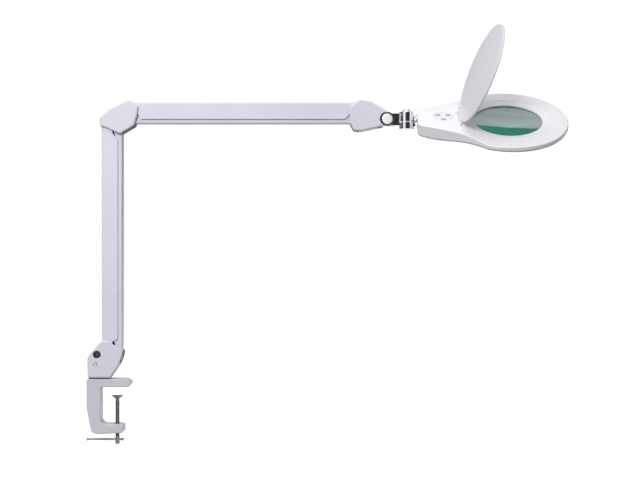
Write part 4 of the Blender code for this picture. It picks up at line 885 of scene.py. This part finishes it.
def build_knob():
    axis = pivot_frame(TILT_AT)
    knob = turned([(0, 22.0), (10.3, 22.0, 0.1), (10.3, 23.4, 0.2), (12.2, 23.4, 0.8), (12.9, 22.6, 0.6),
                   (12.9, 13.0, 0.6), (12.2, 12.2, 0.3), (3.4, 12.2), (3.4, 19.6), (0, 19.6)], axis)
    flutes = [rod((x, y, 10), (x, y, 21.6), 1.15, 12, axis) for x, y in circle((0, 0), 13.7, 30)]
    cut(knob, merge(*flutes))
    piece("tilt_knob_grip", knob, "tilt_knob", BLACK, "black_plastic", "tilt_knob")
    cap = turned([(0, 23.9), (8.4, 23.75, 1.0), (9.6, 23.4, 0.4), (10.0, 22.9, 0.3), (10.0, 22.3), (0, 22.3)],
                 axis)
    piece("tilt_knob_disc", cap, "tilt_knob", CAP, "aluminium", "tilt_knob_cap")
    stud = turned([(0, 19.3), (3.0, 19.3, 0.2), (3.0, 13.0), (2.8, 12.4), (2.8, -17.2, 0.2),
                   (2.3, -18.2, 0.2), (0, -18.2)], axis, 48)
    piece("tilt_stud_rod", stud, "tilt_knob", STEEL, "steel", "tilt_stud")


def build_swivel():
    """The block under the tilt link's barrel, with the neck that the head rolls on."""
    seam = SEAM - SEAM_GAP
    block = turned([(0, seam), (BARREL, seam, 0.7), (BARREL, 475.1, 1.2), (0, 475.1)],
                   upright_at(SWIVEL_AT_X))
    along = upright_at(0, 0, ROLL_HEIGHT) @ Matrix.Rotation(math.pi / 2, 4, "Y")
    neck = turned([(0, 549.6), (10.0, 549.6, 1.0), (11.0, 551.0, 0.8), (11.0, 554.1, 0.7), (4.0, 554.1, 0.2),
                   (4.0, 571.5, 0.4), (0, 571.5)], along)
    join(block, web((SWIVEL_AT_X + 4, 479.5), (551.1, seam), 8.5, 0.8), neck)
    cut(block, rod((SWIVEL_AT_X, 0, 470), (SWIVEL_AT_X, 0, 520), 3.4),
        rod((SWIVEL_AT_X, 0, 470), (SWIVEL_AT_X, 0, 479.0), 6.5))
    piece("swivel_block_body", block, "swivel_block", CHROME, "chrome", "swivel_block")
    ring = turned([(5.3, 569.5, 0.3), (5.3, 567.5, 0.3), (4.35, 567.5), (4.35, 569.5)], along, 64)
    piece("roll_clip", ring, "swivel_block", STEEL, "steel", "roll_retainer")


# ---------------------------------------------------------------- head

def smooth(amount):
    amount = min(max(amount, 0.0), 1.0)
    return amount * amount * (3 - 2 * amount)


def head_top(x):
    return 5.2 + 5.1 * smooth((-55.0 - x) / 40.0) - 2.1 * smooth((-140.0 - x) / 28.0)


def head_bottom(x):
    return -6.0 - 10.0 * smooth((-45.0 - x) / 100.0)


def bend_through(points, steps):
    """A smooth curve through points."""
    ends = [points[0]] + points + [points[-1]]
    made = []
    for a, b, c, d in zip(ends, ends[1:], ends[2:], ends[3:]):
        for step in range(steps):
            t = step / steps
            made.append(tuple(0.5 * (2 * q + (r - p) * t + (2 * p - 5 * q + 4 * r - s) * t * t
                                     + (3 * q - p - 3 * r + s) * t ** 3) for p, q, r, s in zip(a, b, c, d)))
    return made + [points[-1]]


def around(plan, radius):
    """A circle about the lens axis with a point in the direction of each of a plan's own."""
    return [polar(radius, math.atan2(y, x)) for x, y in plan]


# The ring's half width along the handle and across it, and how far its top falls towards its edge
RING_REACH, RING_HALF = 111.0, 113.9
CROWN, CROWN_REACH = 1.0, 26.0
TIP_X, TIP_HALF = -168.0, 22.5
SILL = 82.0


def head_plan():
    """The head seen along the lens axis: a ring that flows into a tapering handle."""
    last = math.radians(114)
    arc = []
    for step in range(49):
        angle = last * step / 48
        across = RING_REACH if angle < math.pi / 2 else RING_HALF
        arc.append((across * math.cos(angle), RING_HALF * math.sin(angle)))
    side = bend_through([arc[-1], (-62.0, 89.5), (-78.0, 76.0), (-98.0, 63.0), (-125.0, 50.0), (-148.0, 39.5),
                         (-159.0, 33.0), (-165.0, 28.0), (TIP_X, TIP_HALF)], 6)[1:]
    tip = [(TIP_X, TIP_HALF - TIP_HALF * step / 5) for step in range(1, 5)] + [(TIP_X, 0.0)]
    half = arc + side + tip
    return half + [(x, -y) for x, y in reversed(half[1:-1])]


def shell_rings(plan, z_low, z_top, edge, window):
    """Rings from the seam, up the wall, over the rounded edge and in to the lens window."""
    walls, steps = 7, 26
    rings = []
    for step in range(walls):
        rings.append([(x, y, z_low(x) + (z_top(x) - CROWN - edge - z_low(x)) * step / walls)
                      for x, y in plan])
    for move, down in quarter(edge, 7):
        moved = inset(plan, move)
        rings.append([(mx, my, z_top(px) - CROWN - down) for (mx, my), (px, py) in zip(moved, plan)])
    pairs = list(zip(inset(plan, edge), around(plan, window)))
    for step in range(1, steps + 1):
        row = []
        for outer, inner in pairs:
            x, y = between(outer, inner, step / steps)
            fall = max(0.0, 1 - math.hypot(x - outer[0], y - outer[1]) / CROWN_REACH)
            row.append((x, y, z_top(x) - CROWN * fall * fall))
        rings.append(row)
    return rings


def build_upper_shell(plan):
    seam = lambda x: head_bottom(x) + 3.0
    rings = shell_rings(plan, seam, head_top, 2.2, 79.5)
    window = ((79.4, 5.05), (79.3, 4.75), (79.0, 4.62), (72.0, 3.6), (66.0, 2.75), (64.2, 2.5), (63.7, 2.3),
              (63.5, 2.0), (63.5, 0.0), (SILL, 0.0), (SILL, 2.8))
    for radius, height in window:
        rings.append([(x, y, height) for x, y in around(plan, radius)])
    inside = inset(plan, 2.4)
    steps = 16
    for step in range(1, steps + 1):
        row = [between(sill, wall, step / steps) for sill, wall in zip(around(plan, SILL), inside)]
        rings.append([(x, y, 2.8 + max(0.0, head_top(x) - 2.6 - 2.8) * smooth((-94.0 - x) / 8.0))
                      for x, y in row])
    rings.append([(x, y, seam(x)) for x, y in inside])
    upper = place(loft(rings, caps=False), HEAD)
    middle = HINGE_X + 95.2
    cut(upper, slab([(middle + 96.4 * c, 90.2 * s) for c, s in circle((0, 0), 1.0, 128)], 6.6, 20, HEAD))
    groove = rounded([(-92.4, -23.5, 2.5), (-81.0, -23.5, 2.5), (-81.0, 23.5, 2.5), (-92.4, 23.5, 2.5)])
    cut(upper, slab(groove, 5.4, 20, HEAD))
    lug = rounded([(-92.0, 4.0, 0), (-86.0, 4.0, 0), (-86.0, 11.4, 2.6), (-92.0, 11.4, 2.6)], 8)
    lugs = []
    for side in (-1, 1):
        near, far = span(side, 24.0, 30.5)
        lugs.append(slab(lug, -far, -near, HEAD @ SIDE, 0.5, 3))
    join(upper, *lugs)
    cut(upper, slab(circle((KEYPAD_X, 0), 18.6, 96), 0, 20, HEAD),
        rod((-173, 0, 0), (-160, 0, 0), 4.5, 48, HEAD),
        rod((HINGE_X, -40, HINGE_Z), (HINGE_X, 40, HINGE_Z), 1.9, 32, HEAD),
        slab(circle(INDICATOR_AT, 1.6, 32), 0, 20, HEAD))
    piece("head_upper_moulding", upper, "head", GLOSS, "gloss_white", "head_upper_shell", angle=38)


def build_lower_shell(plan):
    top = lambda x: head_bottom(x) + 2.7
    wall = inset(plan, 0.8)
    rings = [[(x, y, top(x)) for x, y in wall]]
    for move, down in quarter(0.9, 4):
        moved = inset(wall, move)
        rings.append([(mx, my, head_bottom(px) + down) for (mx, my), (px, py) in zip(moved, wall)])
    steps = 14
    opening = around(plan, 101.6)
    for step in range(1, steps + 1):
        row = [between(edge, open_at, step / steps) for edge, open_at in zip(inset(wall, 0.9), opening)]
        rings.append([(x, y, head_bottom(x)) for x, y in row])
    for step in range(steps):
        row = [between(edge, open_at, 1 - step / steps) for edge, open_at in zip(wall, opening)]
        rings.append([(x, y, top(x)) for x, y in row])
    lower = place(loft(rings[::-1], caps=False), HEAD)
    for at in HEAD_SCREWS.values():
        cut(lower, slab(circle(at, 1.6, 32), -30, 20, HEAD),
            slab(circle(at, 3.4, 48), -30, head_bottom(at[0]) + 1.9, HEAD))
    # Painted shade: the lower shell is white gloss, coloured darker grey so that the head's bottom edge reads
    # as a dark strip.
    piece("head_lower_moulding", lower, "head", GLOSS_PAINTED_SHADE, "gloss_white", "head_lower_shell", angle=38)


def build_shells():
    plan = head_plan()
    build_upper_shell(plan)
    build_lower_shell(plan)
    for name, (x, y) in HEAD_SCREWS.items():
        low = head_bottom(x)
        at = HEAD @ Matrix.Translation((x * MM, y * MM, 0))
        screw = turned([(0, -1.0), (1.0, -1.0, 0.2), (1.0, low + 1.5), (3.0, low + 1.5, 0.2),
                        (3.0, low + 0.9, 0.3), (2.2, low + 0.4, 0.5), (0, low + 0.4)], at, 48)
        cut(screw, *cross_recess(at @ Matrix.Rotation(math.pi, 4, "X"), -low - 0.4, 1.5))
        piece(name + "_bolt", screw, "head", STEEL, "steel", name)
    pin = turned([(0, 30.0), (1.45, 30.0, 0.3), (1.45, -30.0, 0.3), (0, -30.0)],
                 HEAD @ upright_at(HINGE_X, 0, HINGE_Z) @ SIDE, 32)
    piece("lid_pin", pin, "head", STEEL, "steel", "lid_hinge_pin")
    lamp = turned([(0, 10.4), (0.8, 10.25, 0.3), (1.2, 9.6, 0.3), (1.2, 6.0), (0, 6.0)],
                  HEAD @ upright_at(*INDICATOR_AT), 32)
    piece("indicator_lens", lamp, "head", BLACK, "black_plastic", "indicator_light")


def build_optics():
    rim, crown, steps = 66.0, 4.6, 24
    face, back = [], []
    for step in range(steps + 1):
        radius = rim * step / steps
        rise = crown * (1 - (radius / rim) ** 2)
        face.append((radius, -1.0 + rise))
        back.append((radius, -3.6 - rise))
    piece("lens_body", turned(face + back[::-1], HEAD, 192), "head", GLASS, "glass", "lens", angle=30)
    for name, high, low, finish in (("lens_rim_ground", -0.9, -2.5, GROUND_EDGE),
                                    ("lens_rim_paint", -2.5, -3.7, RUBBER)):
        band = turned([(66.38, high, 0.03), (66.38, low, 0.03), (66.06, low, 0.03), (66.06, high, 0.03)],
                      HEAD, 192)
        piece(name, band, "head", finish, "glass")
    gasket = turned([(68.7, 0.0, 0.4), (68.7, -4.0, 0.4), (66.4, -4.0), (66.4, -0.35), (64.0, -0.35, 0.2),
                     (64.0, 0.0, 0.15)], HEAD, 192)
    piece("lens_seal", gasket, "head", RUBBER, "black_rubber", "lens_gasket")
    retainer = turned([(71.8, 0.0), (71.8, -6.0, 0.4), (64.2, -6.0, 0.5), (64.2, -4.6, 0.3), (69.1, -4.6),
                       (69.1, 0.0)], HEAD, 192)
    piece("lens_clamp_ring", retainer, "head", GLOSS, "gloss_white", "lens_retainer")
    board_ring = turned([(100.0, -2.2), (100.0, -3.8), (74.0, -3.8), (74.0, -2.2)], HEAD, 128)
    piece("led_board_ring", board_ring, "head", BOARD, "circuit_board", "led_board")
    chips = []
    places = 60
    for index in range(places):
        turn = Matrix.Rotation(2 * math.pi * index / places, 4, "Z")
        for radius in (81.0, 93.0):
            chips.append(box((radius - 1.4, -1.7, -4.15), (radius + 1.4, 1.7, -3.75), HEAD @ turn))
    piece("led_chips", merge(*chips), "head", FROSTED, "frosted_plastic")
    diffuser = [(101.2, -4.3, 0.1), (101.2, -6.0, 0.3), (72.3, -6.0, 0.3), (72.3, -4.3, 0.1)]
    piece("light_diffuser_ring", turned(diffuser, HEAD, 192), "head", FROSTED, "frosted_plastic",
          "light_diffuser")


def build_controls():
    plate = box((-146.0, -22.0, -6.0), (-102.0, 22.0, -4.6), HEAD, 0.2)
    piece("control_board_plate", plate, "head", BOARD, "circuit_board", "control_board")
    parts = []
    for index in range(5):
        along, across = 7.5 * index, 3.0 * (index % 3)
        parts.append(box((-140.0 + along, -16.0 + across, -8.4), (-135.0 + along, -9.0 + across, -6.05),
                         HEAD, 0.3))
    piece("control_components", merge(*parts), "head", BLACK, "black_plastic")
    panel = slab(circle((KEYPAD_X, 0), 18.05, 128), 7.9, 10.22, HEAD, 0.25, 3)
    keys = {"button_brighter": 35.0, "button_dimmer": 145.0, "button_power": 270.0}
    places = {name: polar(11.2, math.radians(angle), (KEYPAD_X, 0)) for name, angle in keys.items()}
    cut(panel, *[slab(circle(at, 4.6, 64), 0, 20, HEAD) for at in places.values()])
    piece("keypad_disc", panel, "head", PANEL, "gloss_white", "keypad_panel")
    for name, (x, y) in places.items():
        at = HEAD @ upright_at(x, y)
        key = turned([(0, 10.45), (2.0, 10.45, 0.2), (2.2, 10.15, 0.1), (2.5, 10.15, 0.1), (2.8, 10.55, 0.3),
                      (3.9, 10.68, 0.4), (4.2, 10.3, 0.3), (4.2, 7.6), (5.4, 7.6), (5.4, 6.4), (1.5, 6.4),
                      (1.5, -3.4), (0, -3.4)], at, 64)
        piece(name + "_key", key, name, KEY_GREY, "grey_plastic", name)
        face = turned([(0, 10.62), (1.5, 10.6, 0.2), (1.95, 10.4, 0.1), (1.95, 10.1), (0, 10.1)], at, 48)
        piece(name + "_face", face, name, KEY_WHITE, "grey_plastic")


def build_lid():
    """A shallow domed oval, turned round and squeezed across, with its hinge barrel and cut-outs."""
    opened = HEAD @ upright_at(HINGE_X, 0, HINGE_Z) @ Matrix.Rotation(-LID_OPEN, 4, "Y")
    half, dome = 95.2, 3.6
    wall = half - 2.0
    height = lambda radius: dome * (1 - (radius / half) ** 2)
    outer = [(half - 1.6) * step / 20 for step in range(21)]
    inner = [(wall - 1.0) * step / 20 for step in range(19, -1, -1)]
    profile = [(radius, height(radius) + 1.0) for radius in outer]
    profile += [(half - 0.9, 0.95), (half - 0.35, 0.65), (half - 0.05, 0.1), (half, -0.6), (half, -2.5),
                (half - 0.2, -2.85), (half - 0.5, -3.0), (wall + 0.5, -3.0), (wall + 0.2, -2.85),
                (wall, -2.5), (wall, -1.4), (wall - 0.3, -1.0), (wall - 0.8, -0.88)]
    profile += [(radius, height(radius) - 1.0) for radius in inner]
    plate = turned(profile, opened @ upright_at(half) @ Matrix.Diagonal((1, 178.0 / 190.4, 1, 1)), 192)
    cut(plate, box((-10, -100, -10), (33.0, 100, -1.0), opened))
    cut(plate, box((-10, 23.5, -10), (9.0, 31.0, 10), opened),
        box((-10, -31.0, -10), (9.0, -23.5, 10), opened))
    cut(plate, box((-6, -24.0, -10), (3.2, 24.0, 10), opened))
    join(plate, box((0.5, -20.0, -0.95), (8.0, 20.0, 1.0), opened),
         rod((0, -23.1, 0), (0, 23.1, 0), 2.7, 48, opened))
    cut(plate, rod((0, -40, 0), (0, 40, 0), 1.9, 32, opened))
    piece("lid_moulding", plate, "lid", LID, "lid_plastic", "lid", angle=40)


build_neck()
build_tilt_link()
build_knob()
build_swivel()
build_shells()
build_optics()
build_controls()
build_lid()


# ---------------------------------------------------------------- studio

def only_seen(obj, **kinds):
    """Stage furniture that just some kinds of ray can see."""
    for kind in ("camera", "diffuse", "glossy", "transmission", "shadow", "volume_scatter"):
        setattr(obj, "visible_" + kind, kinds.get(kind, False))


def glowing(name, low, high, strength):
    """A patchy light of its own, left out of light sampling so that it adds no noise."""
    made = Finish(name, 1.0, Base_Color=(0, 0, 0, 1), Emission_Strength=strength)
    glow = made.patches(0.4, 2.0, low, high)
    made.tree.links.new(glow, made.shader.inputs["Emission Color"])
    made.made.cycles.emission_sampling = "NONE"
    return made.made


def card(name, at, width, height, finish):
    """A flat board that stands at a place, faces the lamp and shows only in reflections."""
    at, facing = Vector(at), Vector((540, 0, 490))
    turn = (facing - at).to_track_quat("Z", "Y").to_matrix().to_4x4()
    shape = slab([(-width / 2, -height / 2), (width / 2, -height / 2), (width / 2, height / 2),
                  (-width / 2, height / 2)], -5, 5, Matrix.Translation(at * MM) @ turn)
    shape.name = name
    shape.data.materials.append(finish)
    only_seen(shape, glossy=True)


def soft_box(name, at, width, height, power):
    light = bpy.data.lights.new(name, "AREA")
    light.shape = "RECTANGLE"
    light.size, light.size_y = width * MM, height * MM
    light.energy = power
    obj = bpy.data.objects.new(name, light)
    at, facing = Vector(at) * MM, Vector((380, 0, 300)) * MM
    turn = (facing - at).to_track_quat("-Z", "Y").to_matrix().to_4x4()
    obj.matrix_world = Matrix.Translation(at) @ turn
    bpy.context.scene.collection.objects.link(obj)
    return obj


def build_sky():
    """A world that is brighter above than below, and brighter on the left than on the right."""
    world = bpy.data.worlds.new("studio")
    world.use_nodes = True
    tree = world.node_tree
    facing = tree.nodes.new("ShaderNodeTexCoord")
    split = tree.nodes.new("ShaderNodeSeparateXYZ")
    tree.links.new(facing.outputs["Generated"], split.inputs["Vector"])
    product = tree.nodes.new("ShaderNodeMath")
    product.operation = "MULTIPLY"
    for socket, axis, ends in ((0, "Z", (-0.25, 0.25, 0.17, 0.52)), (1, "X", (-0.1, 0.6, 1.05, 0.6))):
        ramp = tree.nodes.new("ShaderNodeMapRange")
        for key, value in zip(("From Min", "From Max", "To Min", "To Max"), ends):
            ramp.inputs[key].default_value = value
        tree.links.new(split.outputs[axis], ramp.inputs["Value"])
        tree.links.new(ramp.outputs["Result"], product.inputs[socket])
    sky = tree.nodes["Background"]
    sky.inputs["Color"].default_value = (0.985, 0.99, 1.0, 1)
    tree.links.new(product.outputs["Value"], sky.inputs["Strength"])
    bpy.context.scene.world = world


def build_stage():
    """A white floor and dome behind the lamp, and boards for its bright metal to reflect."""
    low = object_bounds()[0].z / MM - 1.0
    floor = slab(circle((400, 0), 40000, 96), low - 50, low)
    floor.name = "studio_floor"
    white = Finish("studio_white", 0.9, Emission_Color=(1, 1, 1, 1), Emission_Strength=0.80)
    white.colour(white.patches(1.5, 2.0, (0.46, 0.46, 0.46), (0.48, 0.48, 0.48)))
    white.made.cycles.emission_sampling = "NONE"
    floor.data.materials.append(white.made)
    only_seen(floor, camera=True, glossy=True)

    dome = turned([(0, 40000), (20000, 34600), (34600, 20000), (40000, 0), (40000, -600)], WORLD, 64)
    dome.name = "studio_dome"
    dome.data.shade_smooth()
    dome.data.materials.append(glowing("studio_sky", (1.0, 1.0, 1.0), (1.02, 1.02, 1.02), 1.02))
    only_seen(dome, camera=True)

    dark = glowing("studio_flag", (0.012, 0.012, 0.013), (0.02, 0.02, 0.021), 1.0)
    bright = glowing("studio_panel", (0.97, 0.97, 0.97), (1.0, 1.0, 1.0), 1.7)
    card("panel_left", (-530, -1190, 490), 350, 1600, bright)
    card("flag_front", (1146, -2115, 490), 2300, 1300, dark)
    card("flag_left", (-760, -120, 490), 1300, 1600, dark)
    card("flag_low", (540, -900, -700), 2200, 700, dark)


def build_lights():
    soft_box("top_light", (300, -300, 2600), 2600, 1800, 20)
    soft_box("key_light", (-500, -3000, 1800), 1300, 1500, 70)
    fill = soft_box("back_light", (1200, 3200, 1500), 1500, 1500, 44)
    fill.visible_glossy = fill.visible_transmission = False
    bpy.context.scene.view_settings.view_transform = "Standard"
    bpy.context.scene.view_settings.look = "None"


def build_camera():
    camera = bpy.data.cameras.new("camera")
    camera.lens, camera.sensor_width = 88.13, 36.0
    camera.clip_start, camera.clip_end = 0.05, 100.0
    seen_from = bpy.data.objects.new("camera", camera)
    seen_from.location = (0.3748, -2.9, 0.2707)
    seen_from.rotation_euler = (math.pi / 2, 0, 0)
    bpy.context.scene.collection.objects.link(seen_from)
    bpy.context.scene.camera = seen_from


build_stage()
build_sky()
build_lights()
build_camera()
bpy.context.view_layer.update()
